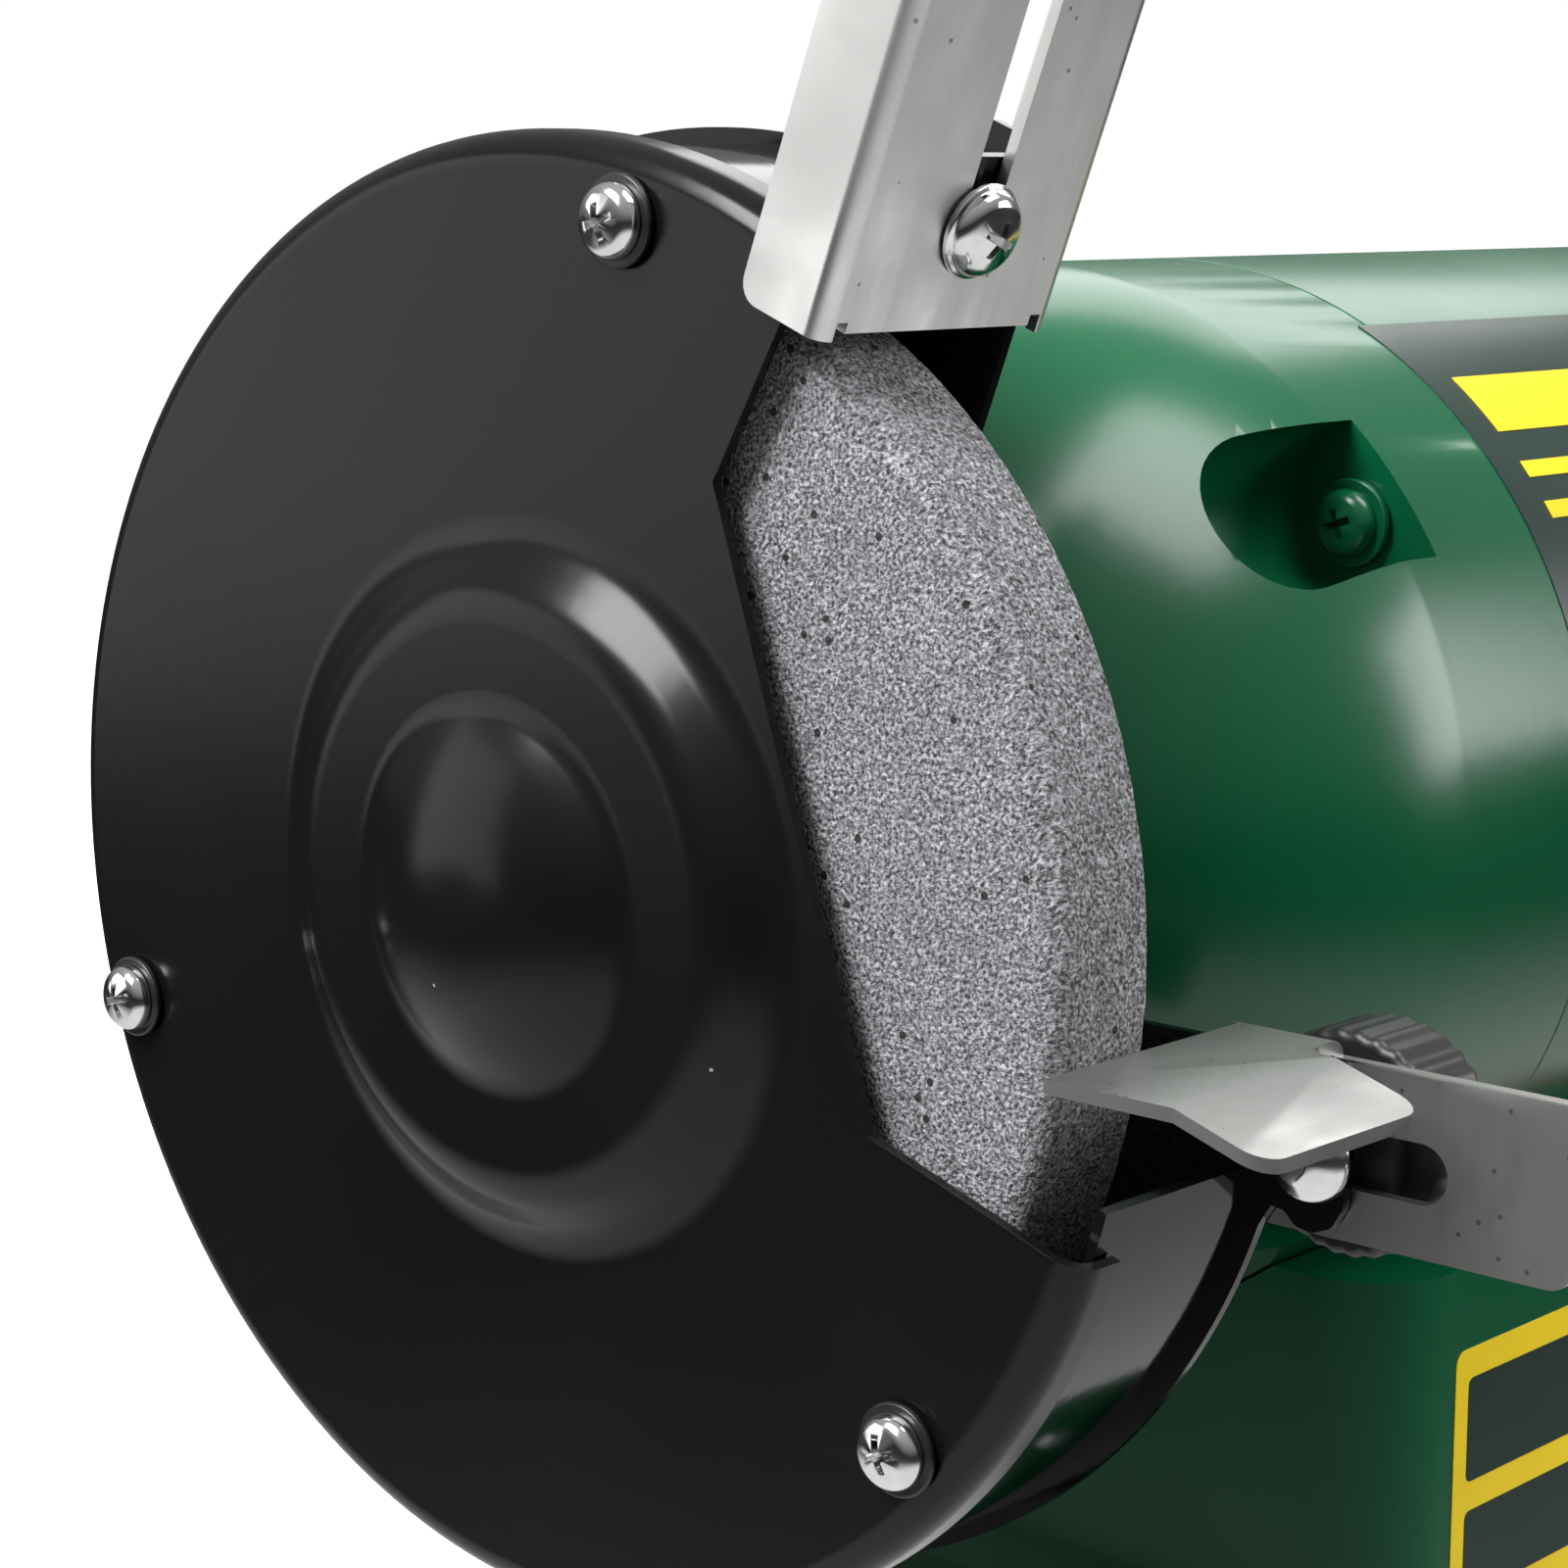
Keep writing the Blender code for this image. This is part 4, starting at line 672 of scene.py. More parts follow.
def grit_finish(name, base):
    """Build the wheel's bonded grains with pits between them, toned after their relief: painted
    shade in the low spots and pits, painted highlight on the raised grains.
    """
    tree, shader = new_material(name)
    grains = from_group(tree, "specks", "Shade", Scale=2400.0)
    fine = from_group(tree, "mottle", Scale=2100.0, Detail=3.0, Low=0.32, High=0.64)
    patch = from_group(tree, "mottle", Scale=60.0, Detail=3.0, Low=0.3, High=0.7)
    dark = rgba([c * 0.12 for c in base])
    pale = rgba([min(1, c * 3.2) for c in base])
    # Tone from near black to grey with the fine relief that also makes the bump: painted shade in
    # the low spots.
    tone = between(tree, fine, dark, rgba([c * 1.15 for c in base]))
    # Grains of random paleness, palest where they stand highest: their own tone with a painted
    # highlight on the raised tops.
    bright = arithmetic(tree, "MULTIPLY", grains, fine)
    tone = between(tree, span(tree, bright, 0, 0.9), tone, pale)
    tone = between(tree, span(tree, patch, 0.2, 0), tone, rgba((0.09, 0.09, 0.105)))
    pits = from_group(tree, "specks", Scale=420.0, Size=0.2, Share=0.07)
    # The pits are coloured near black as well as sunk in the bump: painted shade in them.
    tone = between(tree, pits, tone, dark)
    relief = arithmetic(tree, "ADD", fine, arithmetic(tree, "MULTIPLY", grains, 0.5))
    relief = arithmetic(tree, "SUBTRACT", relief, pits)
    set_shader(
        tree, shader, Base_Color=tone, Roughness=0.85, Normal=bump(tree, relief, 0.9, 0.35 * MM)
    )


def plate_finish(name, base, stretch, rough):
    """Build rolled and zinc-plated steel: a cloudy spangle, fine streaks and small specks."""
    tree, shader = new_material(name)
    cloud = from_group(tree, "mottle", Scale=55.0, Detail=5.0, Low=0.35, High=0.65)
    streak = from_group(
        tree, "mottle", Scale=240.0, Detail=3.0, Low=0.3, High=0.7, Stretch=stretch
    )
    worn = arithmetic(tree, "MULTIPLY", cloud, streak)
    tone = between(tree, worn, rgba([c * 0.72 for c in base]), rgba(base))
    specks = from_group(tree, "specks", Scale=700.0, Size=0.2, Share=0.06)
    tone = between(tree, specks, tone, rgba([c * 0.35 for c in base]))
    height = arithmetic(tree, "ADD", streak, cloud)
    set_shader(
        tree,
        shader,
        Base_Color=tone,
        Metallic=1.0,
        Roughness=span(tree, worn, rough + 0.14, rough),
        Normal=bump(tree, height, 0.05, 0.1 * MM),
    )


def metal_finish(name, base, low, high, stretch=(1, 1, 1)):
    """Build a turned or polished metal."""
    tree, shader = new_material(name)
    lines = from_group(tree, "mottle", Scale=300.0, Detail=3.0, Low=0.3, High=0.7, Stretch=stretch)
    tone = between(tree, lines, rgba([c * 0.85 for c in base]), rgba(base))
    set_shader(
        tree,
        shader,
        Base_Color=tone,
        Metallic=1.0,
        Roughness=span(tree, lines, high, low),
        Normal=bump(tree, lines, 0.03, 0.05 * MM),
    )


def moulded_finish(name, base, rough, scale=1400.0, strength=0.12):
    """Build a moulded plastic or rubber with a fine grain."""
    tree, shader = new_material(name)
    grain = from_group(tree, "mottle", Scale=scale, Detail=2.0, Low=0.3, High=0.7)
    cloud = from_group(tree, "mottle", Scale=30.0, Detail=2.0, Low=0.3, High=0.7)
    tone = between(tree, span(tree, cloud, 0, 0.4), rgba(base), rgba([c * 1.5 for c in base]))
    set_shader(
        tree,
        shader,
        Base_Color=tone,
        Roughness=span(tree, cloud, rough - 0.05, rough + 0.05),
        Normal=bump(tree, grain, strength, 0.08 * MM),
    )


def layered_finish(name, base, gap_tone, pitch, stretch, metallic):
    """Build stacked sheets or wound wire, as fine bands that the light catches."""
    tree, shader = new_material(name)
    place = add_node(tree, "ShaderNodeTexCoord").outputs["Object"]
    mapped = add_node(tree, "ShaderNodeMapping", Vector=place, Scale=stretch)
    bands = add_node(
        tree, "ShaderNodeTexWave", Vector=mapped.outputs[0], Scale=1 / pitch, Distortion=0.6
    )
    grain = from_group(tree, "mottle", Scale=160.0, Detail=3.0, Low=0.3, High=0.7)
    tone = between(tree, bands.outputs["Fac"], rgba(gap_tone), rgba(base))
    set_shader(
        tree,
        shader,
        Base_Color=tone,
        Metallic=metallic,
        Roughness=span(tree, grain, 0.55, 0.35),
        Normal=bump(tree, bands.outputs["Fac"], 0.4, 0.2 * MM),
    )


def clear_finish(name):
    """Build the clear shield's plastic with faint haze."""
    tree, shader = new_material(name)
    haze = from_group(tree, "mottle", Scale=60.0, Detail=4.0, Low=0.3, High=0.7)
    set_shader(
        tree,
        shader,
        Base_Color=between(tree, haze, (0.9, 0.96, 0.95, 1), (0.97, 0.99, 0.99, 1)),
        Roughness=span(tree, haze, 0.02, 0.07),
        Transmission_Weight=1.0,
        IOR=1.5,
    )


# ---------------------------------------------------------------- stage, finishes and cord


def add_light(name, location, size, power, target):
    """Add a soft square light that faces a target."""
    bpy.ops.object.light_add(type="AREA", location=location)
    lamp = bpy.context.object
    lamp.name = name
    lamp.data.size = size
    lamp.data.energy = power
    away = Vector(target) - lamp.location
    lamp.rotation_euler = away.to_track_quat("-Z", "Y").to_euler()


CAMERA_PLACE = (-0.4520, -0.27544, 0.20726)
CAMERA_AZIMUTH = math.radians(-46.788)
CAMERA_ELEVATION = math.radians(9.766)
CAMERA_LENS = 80.956
LIGHTS = (
    ("side_light", (-1.01, 0.22, 1.11), 0.7, 29, (-0.18, 0, 0.13)),
    ("top_light", (0.2, -0.5, 1.3), 0.7, 11, (-0.05, 0, 0.13)),
    ("front_light", (0.95, -1.0, 0.5), 0.6, 8, (-0.1, 0, 0.13)),
    ("back_light", (1.07, 0.64, 1.1), 0.8, 5, (-0.05, 0, 0.15)),
    ("left_panel", (-1.0, 0.95, 0.33), 0.75, 2.2, (-0.18, 0, 0.13)),
)
SURROUNDINGS = (
    (0, 0.9),
    (0.24, 0.85),
    (0.34, 0.05),
    (0.48, 0.02),
    (0.515, 0.1),
    (0.7, 0.3),
    (1, 0.5),
)


class GRINDER_OT_stage(bpy.types.Operator):
    """Set up the pale floor, the soft light and the camera"""

    bl_idname = "grinder.stage"
    bl_label = "Stage"

    def execute(self, context):
        """Make the floor, lights, world and camera."""
        bpy.ops.object.select_all(action="DESELECT")
        bpy.ops.mesh.primitive_circle_add(vertices=96, radius=200, fill_type="NGON")
        floor = context.object
        floor.name = "floor"
        tree, shader = new_material("pale_floor")
        tone = from_group(tree, "mottle", Scale=2.0, Detail=2.0, Low=0.3, High=0.7)
        pale = between(tree, tone, (0.78, 0.78, 0.78, 1), (0.8, 0.8, 0.8, 1))
        set_shader(tree, shader, Base_Color=pale, Roughness=0.8, Emission_Color=pale)
        shader.inputs["Emission Strength"].default_value = 0.9
        floor.data.materials.append(bpy.data.materials["pale_floor"])
        floor.visible_glossy = False
        floor.visible_diffuse = False
        for light in LIGHTS:
            add_light(*light)
        self.make_world(context)
        back = Vector(
            (
                math.sin(CAMERA_AZIMUTH) * math.cos(CAMERA_ELEVATION),
                -math.cos(CAMERA_AZIMUTH) * math.cos(CAMERA_ELEVATION),
                math.sin(CAMERA_ELEVATION),
            )
        )
        bpy.ops.object.camera_add(location=CAMERA_PLACE)
        camera = context.object
        camera.rotation_euler = (-back).to_track_quat("-Z", "Y").to_euler()
        camera.data.lens = CAMERA_LENS
        camera.data.sensor_width = 36
        camera.data.clip_start = 0.02
        context.scene.camera = camera
        context.scene.view_settings.view_transform = "Standard"
        return {"FINISHED"}

    def make_world(self, context):
        """Make the surroundings: a soft room to reflect, and plain white to look at."""
        world = bpy.data.worlds.new("studio")
        context.scene.world = world
        world.use_nodes = True
        tree = world.node_tree
        place = add_node(tree, "ShaderNodeTexCoord").outputs["Generated"]
        height = add_node(tree, "ShaderNodeSeparateXYZ", Vector=place).outputs[2]
        share = add_node(tree, "ShaderNodeMapRange", Value=height, From_Min=-1.0)
        ramp = add_node(tree, "ShaderNodeValToRGB", Fac=share.outputs[0])
        stops = ramp.color_ramp.elements
        for stop, (position, level) in zip(stops, (SURROUNDINGS[0], SURROUNDINGS[-1])):
            stop.position = position
            stop.color = (level, level, level, 1)
        for position, level in SURROUNDINGS[1:-1]:
            stops.new(position).color = (level, level, level, 1)
        looked_at = add_node(tree, "ShaderNodeLightPath").outputs["Is Camera Ray"]
        tone = between(tree, looked_at, ramp.outputs[0], (1, 1, 1, 1))
        feed(tree, tree.nodes["Background"].inputs["Color"], tone)


class GRINDER_OT_finishes(bpy.types.Operator):
    """Mix the finishes and give them to the frame's own pieces"""

    bl_idname = "grinder.finishes"
    bl_label = "Finishes"

    def execute(self, context):
        """Build every material and paint the frame nodes that stay."""
        mottle_group()
        speck_group()
        tones = colours()
        enamel("green_enamel", tones.motor, (0.002, 0.12, 0.048), 0.19, 0.25, 0.001)
        thin_black = (0.007, 0.007, 0.008)
        for shader in (
            enamel("black_enamel", tones.guard, thin_black, 0.17, 0.23, 0.012),
            enamel("black_gloss", tones.guard, thin_black, 0.06, 0.12, 0.006),
        ):
            shader.inputs["Specular IOR Level"].default_value = 0.27
        grit_finish("abrasive", tones.grit)
        plate_finish("zinc_plate", tones.zinc, (1, 0.2, 0.2), 0.24)
        # The rests' zinc is the brackets' zinc darkened to 0.6: painted shade on the rests.
        plate_finish("rest_plate", [c * 0.6 for c in tones.zinc], (0.3, 1, 0.3), 0.26)
        moulded_finish("label_dark", tones.label, 0.3, 900.0, 0.02)
        moulded_finish("label_mark", tones.mark, 0.3, 900.0, 0.02)
        metal_finish("bright_screw", (0.82, 0.82, 0.83), 0.08, 0.2)
        metal_finish("machined_steel", (0.55, 0.55, 0.56), 0.22, 0.36, (4, 0.3, 0.3))
        steel_gap, copper_gap = (0.05, 0.05, 0.05), (0.15, 0.05, 0.02)
        layered_finish("lamination", (0.3, 0.3, 0.31), steel_gap, MM, (1, 0, 0), 1.0)
        layered_finish("copper_wire", (0.62, 0.26, 0.1), copper_gap, 1.2 * MM, (1, 1, 1), 0.9)
        clear_finish("clear_shield")
        moulded_finish("black_plastic", (0.012, 0.012, 0.013), 0.42)
        moulded_finish("rocker_plastic", tones.rocker, 0.3, 900.0, 0.03)
        metal_finish("capacitor_can", (0.68, 0.68, 0.7), 0.3, 0.42, (0.2, 3, 3))
        moulded_finish("black_rubber", (0.014, 0.014, 0.014), 0.62, 800.0, 0.15)
        # Black of the cover screws' washers, which stand in for painted shadow and reflection
        # beside the screw heads on the cover.
        moulded_finish("washer_black", (0.01, 0.01, 0.01), 0.35)
        subparts = frame["record"]["subparts"]
        slots = {entry["node"]: entry["material_slot"] for entry in subparts}
        for name, obj in frame["nodes"].items():
            obj.data.materials.clear()
            obj.data.materials.append(bpy.data.materials[slots[name]])
        return {"FINISHED"}


class GRINDER_OT_cord(bpy.types.Operator):
    """Model the mains cord in one line, its strain relief and its plug"""

    bl_idname = "grinder.cord"
    bl_label = "Cord"

    def execute(self, context):
        """Lay the cord from the strain relief through its coil to the plug."""
        plug = self.plug()
        points = self.route()
        curve = bpy.data.curves.new("mains_cord", "CURVE")
        curve.dimensions = "3D"
        curve.bevel_depth = sizes().cord / 2
        curve.bevel_resolution = 5
        curve.use_fill_caps = True
        spline = curve.splines.new("POLY")
        spline.points.add(len(points) - 1)
        for point, place in zip(spline.points, points):
            point.co = (*place, 1)
        spline.use_smooth = True
        cord = bpy.data.objects.new("mains_cord", curve)
        context.scene.collection.objects.link(cord)
        curve.materials.append(bpy.data.materials["black_rubber"])
        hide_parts("power_cord", "cord_coil")
        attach(cord, "machine")
        self.strain_relief()
        return {"FINISHED"}

    def route(self):
        """Return the cord's line: down from the wall, round the coil and up to the plug."""
        x, exit_y, _ = CORD_EXIT
        centre_y = COIL_CENTRE_Y
        drop = [Vector((x, exit_y + away, height)) for away, height in CORD_DROP]
        drop.append(Vector((x, centre_y - COIL_LEAD, CORD_FLOOR)))
        points = self.curve_through(drop)
        for i in range(1, 3):
            points.append(Vector((x, centre_y - COIL_LEAD * (1 - i / 3), CORD_FLOOR)))
        steps = round(COIL_TURNS * 24)
        for i in range(steps + 1):
            turns = COIL_TURNS * i / steps
            angle = math.pi - turns * math.tau
            radius, height = self.coil_place(turns)
            points.append(
                Vector((radius * math.cos(angle), centre_y + radius * math.sin(angle), height))
            )
        top = CORD_FLOOR + sizes().cord
        for i in range(1, 5):
            height = top + (PLUG_HEIGHT - top) * ease(i / 4)
            points.append(Vector((COIL_RADIUS, centre_y - COIL_LEAVE * i / 4, height)))
        return points

    def curve_through(self, marks):
        """Return a smooth line through marks, with three more points in each gap."""
        points = [marks[0]]
        ends = [marks[0] * 2 - marks[1], *marks, marks[-1] * 2 - marks[-2]]
        for before, start, end, after in zip(ends, ends[1:], ends[2:], ends[3:]):
            slope = end - before
            bend = 2 * before - 5 * start + 4 * end - after
            twist = 3 * start - before - 3 * end + after
            for t in (0.25, 0.5, 0.75, 1):
                points.append(0.5 * (2 * start + slope * t + bend * t**2 + twist * t**3))
        return points

    def coil_place(self, turns):
        """Return the coil's radius and height after so many turns: in below, out above."""
        steps_in = (ease((turns - k) / 0.2) for k in (0.8, 1.8))
        steps_out = (ease((turns - k) / 0.2) for k in (3.6, 4.6))
        inward = sum(steps_in) - sum(steps_out)
        height = CORD_FLOOR + sizes().cord * ease((turns - 2.6) / 0.3)
        return COIL_RADIUS - sizes().cord * inward, height

    def strain_relief(self):
        """Model the ribbed tapering bush where the cord leaves the wall."""
        corners = mm((0, -6, 0), (6.5, -6, 0.4), (6.5, 0.3, 0.2))
        corners += mm((9.5, 0.3, 0.5), (9.5, 3.3, 0.8), (7.2, 3.3, 0.3))
        for i in range(7):
            height = (7 + i * 4.2) * MM
            radius = (7.1 - i * 0.33) * MM
            groove = radius - 1.1 * MM
            corners += [
                (radius, height, 0.3 * MM),
                (groove, height + 0.5 * MM, 0.2 * MM),
                (groove, height + 1.6 * MM, 0.2 * MM),
                (radius - 0.2 * MM, height + 2.1 * MM, 0.3 * MM),
            ]
        corners += mm((4.8, 37.3, 0.5), (0, 37.3, 0))
        relief = turned("strain_relief", filleted(corners, 3), 40, THROUGH_WALL)
        dress(relief, "black_rubber", "machine", ["cord_gland"], 50)

    def plug(self):
        """Model the plug with its gripped body, tail and two pins."""
        cord_end = Vector((COIL_RADIUS, COIL_CENTRE_Y - COIL_LEAVE, PLUG_HEIGHT))
        place = directions(cord_end, X_TO, Z_TO)
        tail, end = 22 * MM, 60 * MM
        corners = [
            (0, 0, 0),
            (4.5 * MM, 0, 0.6 * MM),
            (6.4 * MM, tail, 3 * MM),
            (14 * MM, tail + 7 * MM, 4 * MM),
            (14.2 * MM, tail + 16 * MM, 1.5 * MM),
            (15 * MM, tail + 18 * MM, 1.5 * MM),
            (15 * MM, end, 1.2 * MM),
            (0, end, 0),
        ]
        body = turned("mains_plug", filleted(corners, 5), 56, place)
        for side in (-1, 1):
            pin_place = place @ Matrix.Translation((side * 9.5 * MM, 0, 0))
            pin_corners = [
                (0, end - MM, 0),
                (2.4 * MM, end - MM, 0),
                (2.4 * MM, end + 18.8 * MM, 1.2 * MM),
                (0, end + 18.8 * MM, 0),
            ]
            pin = turned(f"plug_pin_{side + 2}", filleted(pin_corners, 4), 24, pin_place)
            dress(pin, "bright_screw", "machine")
        return dress(body, "black_plastic", "machine", ["plug"])


class GRINDER_OT_wheels(bpy.types.Operator):
    """Model the two grinding wheels with worn edges and raised grit"""

    bl_idname = "grinder.wheels"
    bl_label = "Grinding wheels"

    def execute(self, context):
        """Turn the wheel, roughen its surface and mirror it."""
        out = at(WHEEL_SETBACK)
        inner = out - WHEEL_WIDTH
        bore = ARBOR_RADIUS + GAP
        worn = sizes().wheel_edge
        flat = WHEEL_RADIUS - sizes().grit
        corners = [
            (bore, inner, 0),
            (bore, out, 0),
            (flat, out, worn),
            (flat, inner, worn * 0.8),
            (bore, inner, 0),
        ]
        profile = spaced(filleted(corners, 6), 1.1 * MM)
        wheel = turned("grinding_wheel_piece", profile, 440, ALONG_SHAFT)
        texture = bpy.data.textures.new("wheel_grit", "CLOUDS")
        texture.noise_scale = 0.9 * MM
        texture.noise_depth = 2
        group = wheel.vertex_groups.new(name="rough")
        for vertex in wheel.data.vertices:
            from_axis = vertex.co - AXIS
            from_axis.x = 0
            if from_axis.length > FLANGE_REACH:
                group.add([vertex.index], 1, "REPLACE")
        apply_modifier(
            wheel,
            "DISPLACE",
            texture=texture,
            texture_coords="LOCAL",
            strength=sizes().grit,
            mid_level=0.5,
            vertex_group="rough",
        )
        dress_pair(wheel, "abrasive", "rotor", "grinding_wheel_{}", 60)
        return {"FINISHED"}


class GRINDER_OT_covers(bpy.types.Operator):
    """Model the pressed guard covers with their domes and cut-outs"""

    bl_idname = "grinder.covers"
    bl_label = "Guard covers"

    def execute(self, context):
        """Turn the cover, cut its opening and screw holes and mirror it."""
        outer = mm((0, 10.5, 0), (11.7, 10.5, 38), (22, 5, 7), (34, 5, 9), (40.7, 0, 8))
        outer += [(COVER_RADIUS, 0, 4 * MM), (COVER_RADIUS, -COVER_SKIRT, 0)]
        inner = [
            (COVER_RADIUS - SHEET, -COVER_SKIRT, 0),
            (COVER_RADIUS - SHEET, -SHEET, 2.8 * MM),
            (41 * MM, -SHEET, 9 * MM),
            (34.2 * MM, 5 * MM - SHEET, 8 * MM),
            (22.3 * MM, 5 * MM - SHEET, 8 * MM),
            (12 * MM, 10.5 * MM - SHEET, 36 * MM),
            (0, 10.5 * MM - SHEET, 0),
        ]
        profile = [
            (radius, COVER_X + height)
            for radius, height in [*filleted(outer, 12), *filleted(inner, 12)]
        ]
        cover = turned("guard_cover_piece", profile, 200, ALONG_SHAFT)
        corners = [(*self.cut_corner(*corner), 0) for corner in CUT_OUT]
        outline = filleted(corners, 4, closed=True)
        combine(cover, plate("cover_wedge", outline, at(20 * MM), at(-20 * MM), ALONG_SHAFT))
        for _, angle in COVER_SCREWS:
            place = beside_shaft(COVER_SCREW_CIRCLE, angle)
            combine(cover, rod("drill", COVER_SCREW_HOLE, at(4 * MM), at(-4 * MM), 24, place))
        soften(cover, sizes().edge, 2, 50)
        dress_pair(cover, "black_enamel", "machine", "guard_cover_{}", 50)
        return {"FINISHED"}

    def cut_corner(self, forward, height, angle):
        """Return one corner of the opening, or a far point along its edge."""
        if angle is None:
            return (-forward, height)
        turn = math.radians(angle)
        reach = 2 * COVER_RADIUS
        return (-forward - reach * math.cos(turn), height + reach * math.sin(turn))


class GRINDER_OT_guards(bpy.types.Operator):
    """Model the pans behind the wheels, with their rims, arms and tabs"""

    bl_idname = "grinder.guards"
    bl_label = "Inner guards"

    def execute(self, context):
        """Join the back plate, rim, tab and lugs of one pan and mirror it."""
        tab_face = BRACKET_FACE - BRACKET_SHEET - GAP
        ear_back = tab_face - 10.5 * MM
        corner = self.flat_point(ear_back, math.sqrt(RIM_RADIUS**2 - ear_back**2))
        ear_angle = math.degrees(math.atan2(corner.y, -corner.x))
        outline = filleted(ARM_OUTLINE, 6)
        outline += arc(RIM_RADIUS, -20, ear_angle - 360, 150)
        outline += [
            self.flat_point(ear_back, 96 * MM),
            self.flat_point(tab_face, 96 * MM),
            self.flat_point(tab_face, 62 * MM),
        ]
        inner_x = at(GUARD_DEPTH)
        guard = plate("inner_guard_piece", outline, inner_x, inner_x + SHEET, ALONG_SHAFT)
        combine(guard, rod("drill", 20 * MM, inner_x - MM, inner_x + 3 * MM, 72, ALONG_SHAFT))
        drill = rod("drill", ARM_BOLT_HOLE, inner_x - MM, inner_x + 3 * MM, 24, AT_ARM_BOLT)
        combine(guard, drill)

        band = arc(BAND_RADIUS, -15.5, 59 - 360, 170)
        band += arc(BAND_RADIUS - SHEET, 59 - 360, -15.5, 170)
        rim = plate("rim", band, inner_x + SHEET / 2, at(BAND_EDGE_INSET), ALONG_SHAFT)
        combine(guard, rim, "UNION")

        low, high = (inner_x + 0.2 * MM, 78 * MM), (at(12 * MM), 95.8 * MM)
        tab_outline = box_outline(low, high, 1.2 * MM, 4)
        tab = plate("tab", tab_outline, tab_face - SHEET, tab_face - 0.02 * MM, FACING_BRACKET)
        screw_at = Vector((at(SLOT_INSET), BRACKET_SCREW_HEIGHT, 0))
        hole_place = FACING_BRACKET @ Matrix.Translation(screw_at)
        combine(tab, rod("drill", 2.7 * MM, 0, 30 * MM, 24, hole_place))
        combine(guard, tab, "UNION")
        for _, angle in COVER_SCREWS:
            turn = math.radians(angle)
            away = Vector((0, -math.cos(turn), math.sin(turn)))
            lug_place = directions(AXIS, away, away.cross(X_TO) * -1)
            lug = block(
                "lug",
                (75.8 * MM, -4 * MM, at(BAND_EDGE_INSET + 8 * MM)),
                (BAND_RADIUS - SHEET / 2, 4 * MM, at(BAND_EDGE_INSET + GAP)),
                lug_place,
            )
            combine(guard, lug, "UNION")
            place = beside_shaft(COVER_SCREW_CIRCLE, angle)
            combine(guard, rod("drill", COVER_SCREW_HOLE, at(16 * MM), at(2 * MM), 24, place))
        soften(guard, sizes().edge, 2, 50)
        dress_pair(guard, "black_gloss", "machine", "inner_guard_{}", 50)
        return {"FINISHED"}

    def flat_point(self, out, height):
        """Return (y, z) from the shaft for a place on the bracket's own axes."""
        point = on_bracket(out, height) - AXIS
        return Vector((point.y, point.z))


def pan_screw(name, radius, height, shank, flange=0):
    """Model a pan-head cross screw at the origin, its head's seat at zero."""
    base = [(0, -shank, 0), (1.7 * MM, -shank, 0.4 * MM), (1.7 * MM, 0, 0.1 * MM)]
    if flange:
        base += [(flange, 0, 0.1 * MM), (flange, 0.6 * MM, 0.3 * MM)]
        base.append((radius + 0.2 * MM, 0.9 * MM, 0.3 * MM))
    else:
        base.append((radius, 0, 0.3 * MM))
    base += [(radius, height * 0.62, radius * 0.42), (0, height, 0)]
    screw = turned(name, filleted(base, 8), 48, Matrix.Identity(4))
    reach, half, depth = radius * 0.62, 0.62 * MM, height * 0.75
    for turn in (0, 90):
        place = Matrix.Rotation(math.radians(turn + 20), 4, "Z")
        arm = block("cross", (-reach, -half, height - depth), (reach, half, height + MM), place)
        edit_all(arm)
        bpy.ops.mesh.select_mode(type="FACE")
        bpy.ops.mesh.select_all(action="DESELECT")
        bpy.ops.object.mode_set(mode="OBJECT")
        for face in arm.data.polygons:
            face.select = face.normal.z < -0.9
        bpy.ops.object.mode_set(mode="EDIT")
        bpy.ops.transform.resize(value=(0.45, 0.45, 1), center_override=(0, 0, 0))
        bpy.ops.object.mode_set(mode="OBJECT")
        combine(screw, arm)
    return soften(screw, 0.12 * MM, 2, 40)


